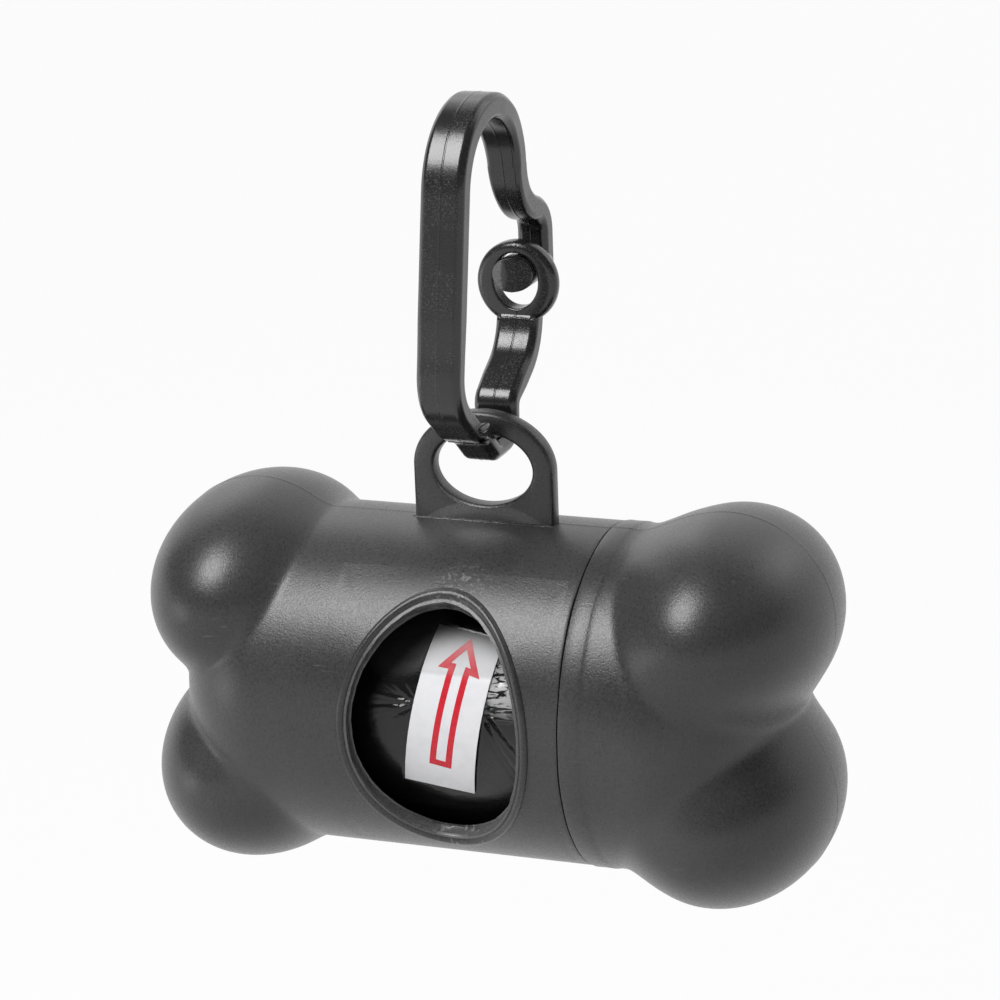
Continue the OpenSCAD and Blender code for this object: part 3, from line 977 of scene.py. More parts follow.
# %% End cap of the case
COLLAR_R = 19.62
COLLAR_L = 2.2
COLLAR = SEAM_X + COLLAR_L
CAP_WAVE = 0.05
CAP_STEP = 0.5
SLEEVE_R = NECK_R + 0.12
COLLAR_PROFILE = [
    (COLLAR + 0.35, TUBE_R + 0.01), (COLLAR + 0.1, COLLAR_R - 0.05), (COLLAR - 0.15, COLLAR_R),
    (SEAM_X + 1.1, COLLAR_R - 0.03), (SEAM_X + EDGE, COLLAR_R), (SEAM_X + EDGE * 0.3, COLLAR_R - EDGE * 0.3),
]
MOUTH_PROFILE = [(SEAM_X, COLLAR_R - EDGE), (SEAM_X, NECK_R + 0.3), (SEAM_X + 0.2, SLEEVE_R)]
SLEEVE_PROFILE = [(MOUTH, SLEEVE_R), (MOUTH + 0.12, NECK_R + 0.1), (MOUTH + 0.14, TUBE_R - WALL)]


def case_cap():
    skin = Skin()
    right_end = bone_end(skin, 1)
    wave = seam_wave(CAP_WAVE)
    rows = [square_row(x, 1) for x in np.arange(TURN_X - OUTER_STEP, COLLAR + CAP_STEP, -CAP_STEP)]
    rows += [wavy_ring(x, radius + parting(THETA), wave) for x, radius in COLLAR_PROFILE]
    rows += [wavy_ring(x, radius, wave) for x, radius in MOUTH_PROFILE]
    rows += [wavy_ring(x, radius, 0) for x, radius in SLEEVE_PROFILE]
    last = skin.onwards(right_end, rows)
    inner_end = bone_end(skin, 1, WALL, INNER_END_ROWS)
    inner = skin.onwards(inner_end, [square_row(x, 1, WALL) for x in (TURN_X - 0.8, TURN_X - 1.6)])
    skin.strip(inner, last)
    return skin


cap = piece("case_cap", case_cap(), "cap", CASE_PLASTIC, "case")
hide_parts("end_cap")

# %% [markdown]
# ## The eyelet
#
# The eyelet is a flat tab, pinched between the mould's halves while the plastic
# is hot, so its edges are rounded. A cube with a hole cut in it and a Bevel
# modifier would come close, but the bevel would have to be told which edges are
# moulded and which are hidden in the tube. Here the outline and the oval hole have
# the same number of points, and the skin runs from one to the other across each
# face and round each edge.

# %% Eyelet tab
EYELET = (-0.5, 25.5)
HOLE_HALF = np.array([5.95, 4.2])
TAB_T = 2.4
TAB_RIM = 2.4
TAB_EDGE = 0.45
TAB_BASE_Z = 18.6
TAB_POINTS = 144
TAB_BULGE = 0.04
SIDE_TURN = math.radians(52)


def tab_outline(turn, grow):
    """The tab's outside: an oval above the hole's centre, straight sides below it and a flat base."""
    half = HOLE_HALF + TAB_RIM + grow
    across, upwards = np.cos(turn), np.sin(turn)
    on_side = np.abs(across) > math.cos(SIDE_TURN)
    share = np.clip(np.abs(upwards) / math.sin(SIDE_TURN), 0, 1)
    low_x = np.where(on_side, np.sign(across) * half[0], half[0] * across / math.cos(SIDE_TURN))
    low_z = np.where(on_side, EYELET[1] + (TAB_BASE_Z - EYELET[1]) * share, TAB_BASE_Z)
    x = np.where(upwards < 0, low_x, half[0] * across)
    z = np.where(upwards < 0, low_z, EYELET[1] + half[1] * upwards)
    return x, z


def tab_hole(turn, grow):
    """The edge of the eyelet's hole."""
    half = HOLE_HALF + grow
    return half[0] * np.cos(turn), EYELET[1] + half[1] * np.sin(turn)


def eyelet_tab():
    """Rings from the middle of the hole over the front to the outer edge, and back over the back."""
    skin = Skin()
    turn = np.linspace(0, 2 * math.pi, TAB_POINTS, endpoint=False)
    half = TAB_T / 2
    soft = TAB_EDGE * 0.3
    front = [
        (tab_hole, 0, TAB_EDGE - half), (tab_hole, soft, soft - half), (tab_hole, TAB_EDGE, -half),
        (tab_outline, -TAB_EDGE, -half), (tab_outline, -soft, soft - half), (tab_outline, 0, TAB_EDGE - half),
    ]
    back = [(kind, grow, -y) for kind, grow, y in reversed(front)]
    rows = []
    for kind, grow, y in [(tab_hole, 0, 0)] + front + [(tab_outline, TAB_BULGE, 0)] + back:
        x, z = kind(turn, grow)
        rows.append(np.stack([EYELET[0] + x, np.full(len(turn), y), z], axis=1))
    made = skin.rows(rows)
    skin.strip(made[-1], made[0])
    return skin


piece("eyelet_tab", eyelet_tab(), "case", CASE_PLASTIC, "case", sharp=50)

# %% [markdown]
# ## The flash under the eyelet
#
# Where the pinched tab meets the tube, a thin line of flash is left on the front,
# slightly wavy. A bump map could suggest it, but the line casts a shadow of its
# own, so it is a low ridge laid along the joint.

# %% Flash along the tab's foot
TAB_FLASH_HALF = HOLE_HALF[0] + TAB_RIM + 0.1
TAB_FLASH_STEPS = 90
TAB_FLASH_PROFILE = ((0.0, -0.3), (0.0, 0.1), (0.1, 0.13), (0.26, 0.05), (0.4, -0.1), (0.4, -0.3))


def tab_flash():
    skin = Skin()
    along = np.linspace(-TAB_FLASH_HALF, TAB_FLASH_HALF, TAB_FLASH_STEPS)
    wavy = 0.05 * np.sin(3.1 * along) + 0.03 * np.sin(8.3 * along + 1)
    made = []
    for out, rise in TAB_FLASH_PROFILE:
        y = -TAB_T / 2 - out + 0.05 - wavy * (out > 0.05)
        made.append(skin.row(np.stack([EYELET[0] + along, y, np.sqrt(TUBE_R**2 - y**2) + rise], axis=1)))
    skin.strips(made + made[:1], closed=False)
    for end in (0, -1):
        skin.faces.append(tuple(row[end] for row in made))
    return skin


piece("tab_flash", tab_flash(), "case", CASE_PLASTIC, "case", sharp=50)

# %% [markdown]
# ## The carabiner's bar
#
# The bar is one section, a rectangle with bevelled corners, carried along a path
# of straight runs and round bends. Blender could bevel a curve object with that
# section, but the real bar changes as it goes: it is thin where it flexes, thick
# in the spine, and narrow in the arm that hides behind the gate. So the path is
# sampled, and the section is worked out again at every sample. A fine ridge runs
# down the middle of its inner and outer faces, where the mould's halves met.

# %% Path of a bar
FINEST_TURN = 0.09


def rounded_path(points, bends, step=0.6):
    """Samples along straight runs with a round bend at each inner point.

    Gives back places, headings, and stations: whole numbers at the start of each run,
    a half where its bend begins.
    """
    points = [np.array(p, float) for p in points]
    places, headings, stations = [], [], []
    start = points[0]
    for i in range(len(points) - 1):
        run = points[i + 1] - points[i]
        heading = math.atan2(run[1], run[0])
        way = run / np.linalg.norm(run)
        last = i == len(points) - 2
        turn = 0.0
        if not last:
            ahead = points[i + 2] - points[i + 1]
            turn = (math.atan2(ahead[1], ahead[0]) - heading + math.pi) % (2 * math.pi) - math.pi
        trim = 0.0 if last else bends[i] * math.tan(abs(turn) / 2)
        end = points[i + 1] - way * trim
        count = max(2, int(np.linalg.norm(end - start) / step) + 1)
        for share in np.linspace(0, 1, count)[: None if last else -1]:
            places.append(start + (end - start) * share)
            headings.append(heading)
            stations.append(i + share / 2)
        if not last:
            side = math.copysign(1, turn)
            middle = end + bends[i] * side * np.array([-math.sin(heading), math.cos(heading)])
            count = max(4, int(abs(turn) * bends[i] / step) + 1, int(abs(turn) / FINEST_TURN))
            for share in np.linspace(0, 1, count, endpoint=False):
                angle = heading + turn * share
                places.append(middle - bends[i] * side * np.array([-math.sin(angle), math.cos(angle)]))
                headings.append(angle)
                stations.append(i + 0.5 + share / 2)
            start = points[i + 1] + np.array([math.cos(heading + turn), math.sin(heading + turn)]) * trim
    return np.array(places), np.array(headings), np.array(stations)


print("an L of 10 mm with a 3 mm bend has", len(rounded_path([(0, 0), (10, 0), (10, 10)], [3])[0]), "samples")

# %% Section of a bar
BAR_W = 5.1
BEVEL = 0.6
SOFT = 0.2
RIDGE = 0.035
ACROSS_RIDGE = ((-0.2, 0), (-0.07, 0), (0, 1), (0.07, 0), (0.2, 0))


def unit(vector):
    return vector / np.linalg.norm(vector)


def bar_section(t, w, bevel=BEVEL):
    """The bar's section, across its thickness and across its width.

    Each corner is a small arc, with a point beside it on both faces that keeps them flat.
    """
    flat_t, flat_w = t / 2 - bevel, w / 2 - bevel
    half_round = [(t / 2, -flat_w), (t / 2, flat_w), (flat_t, w / 2), (-flat_t, w / 2)]
    corners = [np.array(corner) for corner in half_round]
    corners += [-corner for corner in corners]
    points = []
    for i, corner in enumerate(corners):
        before, after = unit(corners[i - 1] - corner), unit(corners[(i + 1) % 8] - corner)
        for way, share in ((before, 1.3), (before, 1.0), (before + after, 0.3), (after, 1.0), (after, 1.3)):
            points.append(corner + way * SOFT * share)
        if i in (0, 4):
            side = 1 if i == 0 else -1
            points += [np.array([side * (t / 2 + RIDGE * up), side * off]) for off, up in ACROSS_RIDGE]
    return np.array(points)


print("a bar's section has", len(bar_section(3.0, BAR_W)), "points")

# %% A bar along a path
DOME_SHARE = 0.86
DOME_RISE = (0.16, 0.18)


def bar_row(place, heading, section):
    """A section set across the path, in the carabiner's plane."""
    out = np.array([-math.sin(heading), math.cos(heading)])
    yz = place + section[:, :1] * out
    return np.stack([EYELET[0] + section[:, 1], yz[:, 0], yz[:, 1]], axis=1)


def by_station(*pairs):
    """Sizes along a path, from pairs of a station and the size there."""
    return tuple(zip(*pairs))


def closed_bar(path, thick, wide, bevels):
    """A skin along a path, with both ends closed by a slightly domed face."""
    skin = Skin()
    places, headings, stations = path
    rows = []
    for place, heading, station in zip(places, headings, stations):
        t, w, bevel = (np.interp(station, *sizes) for sizes in (thick, wide, bevels))
        rows.append(bar_row(place, heading, bar_section(t, w, bevel)))
    made = skin.rows(rows)
    for ring, row, end, sign in ((made[0], rows[0], 0, -1), (made[-1], rows[-1], -1, 1)):
        way = np.array([0, math.cos(headings[end]), math.sin(headings[end])]) * sign
        centre = row.mean(axis=0)
        soft = skin.row(centre + (row - centre) * DOME_SHARE + way * DOME_RISE[0])
        skin.strip(ring, soft)
        skin.cap(soft, tuple(centre + way * DOME_RISE[1]))
    return skin


print("made the helper", closed_bar.__name__)

# %% [markdown]
# ## The carabiner's frame
#
# The path starts at the thin root under the gate, runs under the eyelet, steps up
# to the long spine, goes over the arch and down the arm, and sweeps out over the
# shoulder, so that its peg reaches forward through the gate's ring. The arch
# narrows on its way to the arm. Every corner is worked out from the seat, where
# the bar lies in the eyelet, so the clip stays hung when a size changes.

# %% Corners of the path
HOLE_PLAY = 0.95
SEAT_BAR_T = 2.7
SEAT_Z = EYELET[1] + HOLE_HALF[1] - HOLE_PLAY - SEAT_BAR_T / 2
SEAT_RISE = 0.25
ROOT = np.array([4.2, SEAT_Z + 2.8])
CORNER = np.array([4.2, SEAT_Z + SEAT_RISE])
SEAT = np.array([-0.83, SEAT_Z + SEAT_RISE])
LOW_KNEE = np.array([-4.14, SEAT_Z + 3.03])
HIGH_KNEE = np.array([-7.39, SEAT_Z + 4.56])
FOOT = np.array([-12.7, SEAT_Z + 7.7])

LEAN = math.radians(10)
SPINE_L = 23.9
SPINE = np.array([math.sin(LEAN), math.cos(LEAN)])
OUTER_FOOT = FOOT + 1.05 * SPINE

FLARE = math.radians(7)
ARCH_R = 9.3
ARCH_START = FOOT + SPINE_L * SPINE
ARCH_MID = ARCH_START + ARCH_R * np.array([SPINE[1], -SPINE[0]])
ARCH_END = ARCH_MID + ARCH_R * np.array([math.cos(FLARE), math.sin(FLARE)])
ARCH_CORNER = ARCH_START + ARCH_R * math.tan((math.pi - LEAN - FLARE) / 2) * SPINE

ARM_L = 0.2
ARM = np.array([math.sin(FLARE), -math.cos(FLARE)])
DIP = math.radians(15.5)
SHOULDER_L = 0.7
SHOULDER_BEND = 7.1
SHOULDER_TRIM = SHOULDER_BEND * math.tan((math.pi / 2 - FLARE - DIP) / 2)
SHOULDER = ARCH_END + (ARM_L + SHOULDER_TRIM) * ARM

HOOK_L = 3.5
HOOK_BEND = 3.2
HOOK_TRIM = HOOK_BEND * math.tan((math.pi / 2 - DIP) / 2)
SHOULDER_WAY = np.array([math.cos(DIP), -math.sin(DIP)])
HOOK = SHOULDER + (SHOULDER_TRIM + SHOULDER_L + HOOK_TRIM) * SHOULDER_WAY
PEG = HOOK - [0, HOOK_TRIM + HOOK_L]
PEG_HALF = np.array([2.52, 1.98])
print("the peg's axis is", (PEG - ARCH_END).round(2), "mm from the end of the arch")

# %% Frame of the carabiner
SEAT_T = 2.4
NECK_BEVEL = 0.85
FLASH_AT = 3.22
FRAME_CORNERS = [
    ROOT, CORNER, SEAT, LOW_KNEE, HIGH_KNEE, OUTER_FOOT, ARCH_CORNER, SHOULDER, HOOK,
    PEG - [0, PEG_HALF[1] - 0.3],
]
FRAME_BENDS = [2.2, 2.5, 3.5, 4.0, 5.2, ARCH_R, SHOULDER_BEND, HOOK_BEND]
FRAME_PATH = rounded_path(FRAME_CORNERS, FRAME_BENDS)
FRAME_THICK = by_station(
    (0, 2.3), (0.5, SEAT_T), (4.5, 2.6), (5.05, 2.7), (5.15, 3.0), (6, 3.0), (6.5, 2.9), (9, 2.9)
)
FRAME_WIDE = by_station(
    (0, 4.8), (FLASH_AT - 0.02, 4.8), (FLASH_AT, BAR_W), (5.8, BAR_W), (5.87, 4.85), (5.93, 4.4),
    (6, 4.05), (6.5, 4.03), (6.75, 3.7), (9, 3.7),
)
FRAME_BEVELS = by_station(
    (0, NECK_BEVEL), (FLASH_AT - 0.02, NECK_BEVEL), (FLASH_AT, BEVEL), (5.9, BEVEL),
    (6.3, 0.4), (7.0, 0.4), (7.5, BEVEL), (9, BEVEL),
)

frame_skin = closed_bar(FRAME_PATH, FRAME_THICK, FRAME_WIDE, FRAME_BEVELS)
frame_bar = piece("clip_bar", frame_skin, "clip", CLIP_PLASTIC, "clip", sharp=60)

# %% [markdown]
# ## Flash and nubs on the foot
#
# Where the spine's foot meets the seat, the two halves of the mould end in a thin
# ragged line of flash, and two small nubs are left on the side. Noise in a
# Displace modifier would roughen a whole face. A narrow band around the bar, with
# its height drawn as a sum of waves, puts the raggedness only where the mould
# leaks.

# %% Flash around the foot
FOOT_FLASH_H = 0.24
FOOT_FLASH_PROFILE = ((-0.14, -0.1), (-0.08, 0.6), (0.0, 1.0), (0.08, 0.6), (0.14, -0.1))


def ragged_rise(turn, amount):
    """A small uneven rise, the same on every run."""
    wave = np.sin(9 * turn + 1) + 0.7 * np.sin(23 * turn) + 0.5 * np.sin(47 * turn + 2)
    return amount * np.clip(0.45 + 0.3 * wave, 0.05, 1)


def clip_flash():
    """The thin line of flash around the bar's outer side, at one station of the path."""
    skin = Skin()
    places, headings, stations = FRAME_PATH
    place = np.array([np.interp(FLASH_AT, stations, places[:, k]) for k in (0, 1)])
    heading = np.interp(FLASH_AT, stations, headings)
    way = np.array([math.cos(heading), math.sin(heading)])
    section = bar_section(SEAT_T + 0.1, BAR_W)
    turn = np.arctan2(section[:, 1], section[:, 0])
    uneven = ragged_rise(turn * 1.7, FOOT_FLASH_H)[:, None] / np.linalg.norm(section, axis=1, keepdims=True)
    outer = np.clip((section[:, :1] - 0.3) / 0.4, 0, 1)
    rows = []
    for along, rise in FOOT_FLASH_PROFILE:
        grown = section * (1 + rise * (outer if rise > 0 else 1) * uneven)
        wavy = place + way * (along + 0.12 * math.sin(5 * along))
        rows.append(bar_row(wavy, heading, grown))
    made = skin.rows(rows)
    skin.strip(made[-1], made[0])
    return skin


piece("clip_flash", clip_flash(), "clip", CLIP_PLASTIC, "clip", sharp=60)

# %% Nubs on the foot
NUBS = (((2.5, -6.4, 31.9), (0.5, 1.7, 0.5)), ((2.5, -6.0, 30.2), (0.5, 1.0, 0.26)))
NUB_STEPS = 12


def blob(skin, centre, half):
    """A small rounded lump."""
    turn = np.linspace(0, 2 * math.pi, 2 * NUB_STEPS, endpoint=False)
    flat = np.stack([np.cos(turn), np.sin(turn), 0 * turn], axis=1)
    top = np.array([0, 0, half[2]])
    rows = []
    for tilt in np.linspace(-math.pi / 2, math.pi / 2, NUB_STEPS)[1:-1]:
        rows.append(flat * math.cos(tilt) * half + top * math.sin(tilt) + centre)
    made = skin.rows(rows)
    skin.cap(made[0], tuple(centre - top))
    skin.cap(made[-1], tuple(centre + top))


nubs = Skin()
for nub_place, nub_half in NUBS:
    blob(nubs, np.array(nub_place) + [EYELET[0], 0, 0], np.array(nub_half))
piece("clip_nubs", nubs, "clip", CLIP_PLASTIC, "clip", sharp=60)

# %% [markdown]
# ## The peg
#
# The peg is an oval rod with its tip cut slanting to two sides of a line, which
# lets the ring ride up on it and snap over. A cylinder cut with a boolean would
# lose its even rows of faces, so the tip's rows are shifted along the peg instead,
# each point by how far it is from that line.

# %% Peg of the carabiner
PEG_L = 7.7
PEG_POINTS = 96
PEG_RIDGE = -0.9
TIP_OUT = 0.7
LEFT_SLANT = -0.36
RIGHT_SLANT = 0.16
PEG_TIP = PEG[0] - PEG_L
PEG_PROFILE = [
    (PEG[0] + 0.6, 0.72), (PEG[0] - 0.4, 0.86), (PEG[0] - 1.4, 0.96), (PEG_TIP + 2.2, 1.0),
    (PEG_TIP + 1.2, 1.0), (PEG_TIP + 0.3, 1.0), (PEG_TIP + 0.12, 0.98), (PEG_TIP, 0.94),
    (PEG_TIP, 0.8), (PEG_TIP, 0.6), (PEG_TIP, 0.4), (PEG_TIP, 0.2),
]


def clip_peg():
    skin = Skin()
    turn = np.linspace(0, 2 * math.pi, PEG_POINTS, endpoint=False)
    rows = []
    for y, share in PEG_PROFILE:
        half = PEG_HALF * share
        ridge = RIDGE * (share > 0.9) * np.clip(1 - np.abs(np.cos(turn)) * half[0] / 0.18, 0, 1)
        x = half[0] * np.cos(turn)
        aside = x - PEG_RIDGE
        slant = np.where(aside < 0, LEFT_SLANT * aside, RIGHT_SLANT * aside) - TIP_OUT
        z = PEG[1] + (half[1] + ridge) * np.sin(turn)
        rows.append(np.stack([EYELET[0] + x, y + slant * (y < PEG_TIP + 1), z], axis=1))
    made = skin.rows(rows)
    skin.cap(made[0], (EYELET[0], PEG[0] + 0.7, PEG[1]))
    skin.cap(made[-1], (EYELET[0], PEG_TIP - TIP_OUT - RIGHT_SLANT * PEG_RIDGE, PEG[1]))
    return skin


piece("clip_peg", clip_peg(), "clip", CLIP_PLASTIC, "clip", sharp=35)
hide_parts("clip_frame")

# %% [markdown]
# ## The gate
#
# The gate is the same bar, thinner at its root, which is what bends when the ring
# is pushed off the peg. It rises in a shallow S to the ring. It could be bent with
# a curve or an armature, but it moves as one body on the frame's joint, so the
# same path and section as for the frame are enough.

# %% Arm of the gate
GATE_FOOT = ROOT + [0, 2.1]
RING = np.array([PEG_TIP + 1.85, PEG[1] - 1.2])
RING_R = 4.85
RING_FOOT = RING - [0, RING_R - 0.5]
SLOPE = math.tan(math.radians(30))
STEEP = math.tan(math.radians(13))
out_to_ring, up_to_ring = RING_FOOT - GATE_FOOT
gate_run = (out_to_ring - up_to_ring * STEEP) / (1 - SLOPE * STEEP)
GATE_TOP = GATE_FOOT + gate_run * np.array([1, SLOPE])
GATE_THICK = by_station((0, 2.0), (0.5, 2.25), (1.0, 2.4), (1.25, 2.8), (3, 2.8))

gate_path = rounded_path([ROOT - [0, 0.5], GATE_FOOT, GATE_TOP, RING_FOOT + [0.1, 0.4]], [1.5, 7.0], 0.45)
gate_skin = closed_bar(gate_path, GATE_THICK, by_station((0, BAR_W)), by_station((0, BEVEL)))
gate_bar = piece("gate_bar", gate_skin, "gate", CLIP_PLASTIC, "clip", sharp=60)

# %% [markdown]
# ## The gate's ring
#
# The ring drops over the peg and holds the gate shut. Its hole is taller than the
# peg, because the ring rises a little as the gate swings inwards. A torus would be
# round all over. The real ring has flat faces that lean back a little from the
# middle, so that it comes out of the mould, a ridge where the mould's halves met,
# edges that are rounded outside and crisp inside, and a ragged line where it runs
# into the arm.

# %% Ring of the gate
RING_T = 2.4
RING_HOLE = np.array([2.7, 3.25])
RING_HOLE_Z = 0.3
DRAFT = 0.055
RING_POINTS = 128
HALF_T = RING_T / 2
HOLE_SIDE = [
    (0.0, 0.0), (0.0, HALF_T - 0.35), (0.0, HALF_T - 0.2), (0.06, HALF_T - 0.06), (0.2, HALF_T),
    (0.4, HALF_T),
]
OUTER_SIDE = [
    (-0.85, HALF_T), (-0.6, HALF_T - 0.04), (-0.3, HALF_T - 0.16), (-0.1, HALF_T - 0.38),
    (0.0, HALF_T - 0.7), (0.0, 0.0),
]


def gate_ring():
    skin = Skin()
    turn = np.linspace(0, 2 * math.pi, RING_POINTS, endpoint=False)
    rim_half = np.array([RING_R, RING_R])
    profile = [(RING_HOLE + grow, RING_HOLE_Z, y) for grow, y in HOLE_SIDE]
    profile += [(rim_half + grow, 0.0, y) for grow, y in OUTER_SIDE]
    profile += [(half, raised, -y) for half, raised, y in reversed(profile[1:-1])]
    rows = []
    for half, raised, y in profile:
        face = 0 if abs(y) < 0.5 else math.copysign(1, y)
        x = half[0] * np.cos(turn)
        z = half[1] * np.sin(turn) + raised
        off_plane = (RIDGE * np.clip(1 - np.abs(x) / 0.2, 0, 1) - DRAFT * (np.abs(x) - 1)) * face
        rows.append(np.stack([EYELET[0] + x, RING[0] - y - off_plane, RING[1] + z], axis=1))
    made = skin.rows(rows)
    skin.strip(made[-1], made[0])
    return skin


piece("gate_ring", gate_ring(), "gate", CLIP_PLASTIC, "clip", sharp=45)

# %% Flash between ring and arm
RING_FLASH_HALF = 2.2
RING_FLASH_H = 0.16
RING_FLASH_STEPS = 60
RING_FLASH_PROFILE = ((0.5, -0.5), (1.32, -0.18), (1.44, 0.0), (1.32, 0.16), (0.5, 0.4))


def ring_flash():
    """The ragged line where the ring's front edge runs into the arm."""
    skin = Skin()
    across = np.linspace(-RING_FLASH_HALF, RING_FLASH_HALF, RING_FLASH_STEPS)
    sagging = RING_FOOT[1] + 0.35 - 0.12 * (across / RING_FLASH_HALF) ** 2
    uneven = ragged_rise(across * 1.3, RING_FLASH_H) * 0.6
    made = []
    for out, rise in RING_FLASH_PROFILE:
        z = sagging + rise + uneven * np.sign(rise + 0.01)
        made.append(skin.row(np.stack([EYELET[0] + across, RING_FOOT[0] - out + 0 * across, z], axis=1)))
    skin.strips(made + made[:1], closed=False)
    return skin


piece("ring_flash", ring_flash(), "gate", CLIP_PLASTIC, "clip", sharp=60)
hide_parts("clip_gate")

# %% [markdown]
# ## The roll of bags
#
# Each bag is a tube of film folded flat and wound up, and the start of the outer
# one is held by a paper label. Film that thin gathers into pleats wherever it is
# pulled in, here under both edges of the label. A cloth simulation would settle
# into folds of its own choosing, so the pleats are drawn instead: straight creases
# that fan out from one point, like the ribs of a paper fan, and fade with distance.

# %% Places on the outer bag
ROLL_R = 15.5
ROLL_Z = -1.23
ROLL_HALF = 27.5
LABEL = np.array([(-5.7, -5.9), (2.4, -7.2), (5.7, 11.4), (-2.4, 12.7)])
LABEL_HALF = (4.1, 9.4)


def on_film(x, s, radius):
    """Points on the roll from a place along it and a distance round it, up from the front."""
    angle = np.asarray(s) / ROLL_R
    return np.stack([x + 0 * angle, -radius * np.cos(angle), ROLL_Z + radius * np.sin(angle)], axis=-1)


def under_label(x, s, margin):
    """1 under the label, falling to 0 a margin outside it."""
    along = unit(LABEL[3] - LABEL[0])
    across = np.array([along[1], -along[0]])
    middle = LABEL.mean(axis=0)
    u = np.abs((x - middle[0]) * across[0] + (s - middle[1]) * across[1]) - LABEL_HALF[0]
    v = np.abs((x - middle[0]) * along[0] + (s - middle[1]) * along[1]) - LABEL_HALF[1]
    return np.clip(1 - np.maximum(u, v) / margin, 0, 1)


print("the label covers", round(4 * LABEL_HALF[0] * LABEL_HALF[1]), "square mm of film")

# %% Pleats and creases
LEFT_PINCH = (-3.6, 3.4)
RIGHT_PINCH = (4.2, 2.9)
STRAIN_LINES = ((3.2, -1.2, 0.3), (2.3, -1.75, 0.16))
HEM = -10.4


def zigzag(u):
    """Straight ramps up and down between 0 and 1."""
    return np.abs((u + 1) % 2 - 1)


def ramp(value, start, length):
    """0 before the start and 1 a length after it; a negative length runs the other way."""
    return np.clip((value - start) / length, 0, 1)


def fan(x, s, pinch, side, spokes, width):
    """Creases that fan out from a pinch to one side of it, -1 in a valley and 0 on a crest."""
    dx, ds = (x - pinch[0]) * side, s - pinch[1]
    angle = np.arctan2(ds, dx)
    folds = 0.6 * zigzag(angle * spokes + 0.3) + 0.4 * zigzag(angle * spokes * 2.3 + 1.1)
    return (folds - 1) * np.clip(1.4 - np.abs(angle) / width, 0, 1), np.hypot(dx, ds)


def pleats(x, s):
    """Short deep pleats beside both edges of the label, and long shallow ones to the left."""
    short_left, away = fan(x, s, LEFT_PINCH, -1, 4.3, 1.3)
    height = 0.2 * short_left * np.exp(-((away - 1.2) / 1.7) ** 2)
    long_left, away = fan(x, s, LEFT_PINCH, -1, 5.5, 0.42)
    height = height + 0.1 * long_left * ramp(away, 0, 2) * np.exp(-((away / 7.5) ** 4))
    short_right, away = fan(x, s, RIGHT_PINCH, 1, 3.7, 1.7)
    return height + 0.3 * short_right * ramp(away, 0, 1.2) * np.exp(-(away / 2.0) ** 2)


def foil(x, s):
    """Flat facets where the film is pulled tight, above the right pinch."""
    where = ramp(s, 2.2, 0.8) * ramp(s, 9.5, -2.5) * ramp(x, 4.3, 0.8)
    facets = zigzag(0.3 * x + 0.5 * s + 0.3 * np.sin(0.8 * s)) * zigzag(0.5 * x - 0.35 * s + 0.4)
    return -0.3 * facets * where


def strain_lines(x, s):
    """Two straight creases that run down and away from the right pinch."""
    height = 0
    for start, slope, tall in STRAIN_LINES:
        off = (s - start - (x - 4.4) * slope) / math.hypot(1, slope)
        line = np.exp(-(off / 0.16) ** 2) + 0.6 * np.clip(1 - np.abs(off + 0.5) / 0.5, 0, 1)
        height = height - tall * line * ramp(x, 4.2, 0.6) * ramp(x, 11, -2)
    return height


def film_height(x, s):
    """How far the film stands off the roll's radius, in millimetres: mostly inwards."""
    slack = 0.03 * np.sin(x * 0.5 + 0.7 * np.sin(s * 0.3)) * np.sin(s * 0.25 + 1)
    hem = 0.08 * np.exp(-(((s - HEM + 0.04 * x) / 0.18) ** 2))
    height = slack + pleats(x, s) + foil(x, s) + strain_lines(x, s) + hem
    covered = under_label(x, s, 0.35)
    return height * (1 - covered) - 0.1 * covered


deep = abs(float(film_height(RIGHT_PINCH[0] + 1.0, RIGHT_PINCH[1])))
print("a millimetre from the right pinch the film lies", round(deep, 2), "mm in")

# %% Film of the roll
CORE_R = 5.4
FINE = 0.16
FINE_X = 10.5
FINE_S = (-14.0, 17.0)
COARSE_ROWS = 26
COARSE_COLUMNS = 90
WINDINGS = 64


def wound_end(s, number):
    """How far one edge of film lies inside the roll's end: every other one is tucked in."""
    turn = s / ROLL_R
    tucked = 0.3 * (number % 2) + 0.12 * np.sin(3 * turn + number * 1.7) + 0.08 * np.sin(11 * turn + number)
    return 0.22 + np.clip(tucked, 0, 0.6)


def film_roll():
    skin = Skin()
    end_x = ROLL_HALF - 0.3
    xs = np.concatenate([
        np.linspace(-end_x, -FINE_X - 0.4, COARSE_ROWS),
        np.arange(-FINE_X, FINE_X, FINE),
        np.linspace(FINE_X + 0.3, end_x, COARSE_ROWS),
    ])
    all_round = 2 * math.pi * ROLL_R
    coarse = np.linspace(FINE_S[1] + 0.3, all_round + FINE_S[0] - 0.3, COARSE_COLUMNS)
    s = np.concatenate([np.arange(*FINE_S, FINE), coarse])
    made = skin.rows([on_film(x, s, ROLL_R + film_height(np.full(len(s), x), s)) for x in xs])
    bores = []
    for end, ring in ((-1, made[0]), (1, made[-1])):
        windings = []
        for number, radius in enumerate(np.linspace(ROLL_R - 0.1, CORE_R + 0.02, WINDINGS)):
            windings.append(on_film(end * (ROLL_HALF - wound_end(s, number)), s, radius))
        bores.append(skin.onwards(ring, windings))
    skin.strip(*bores)
    return skin


wound = piece("film_roll", film_roll(), "roll", FILM, "film", sharp=28)
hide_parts(*[f"bag_{number:02d}" for number in range(1, 16)])

# %% [markdown]
# ## The core
#
# The bags are wound on a tube of board, a little shorter than the roll. It is seen
# only down the roll's end when the cap is off. A primitive cylinder has no bore,
# so four rings are joined into a tube.

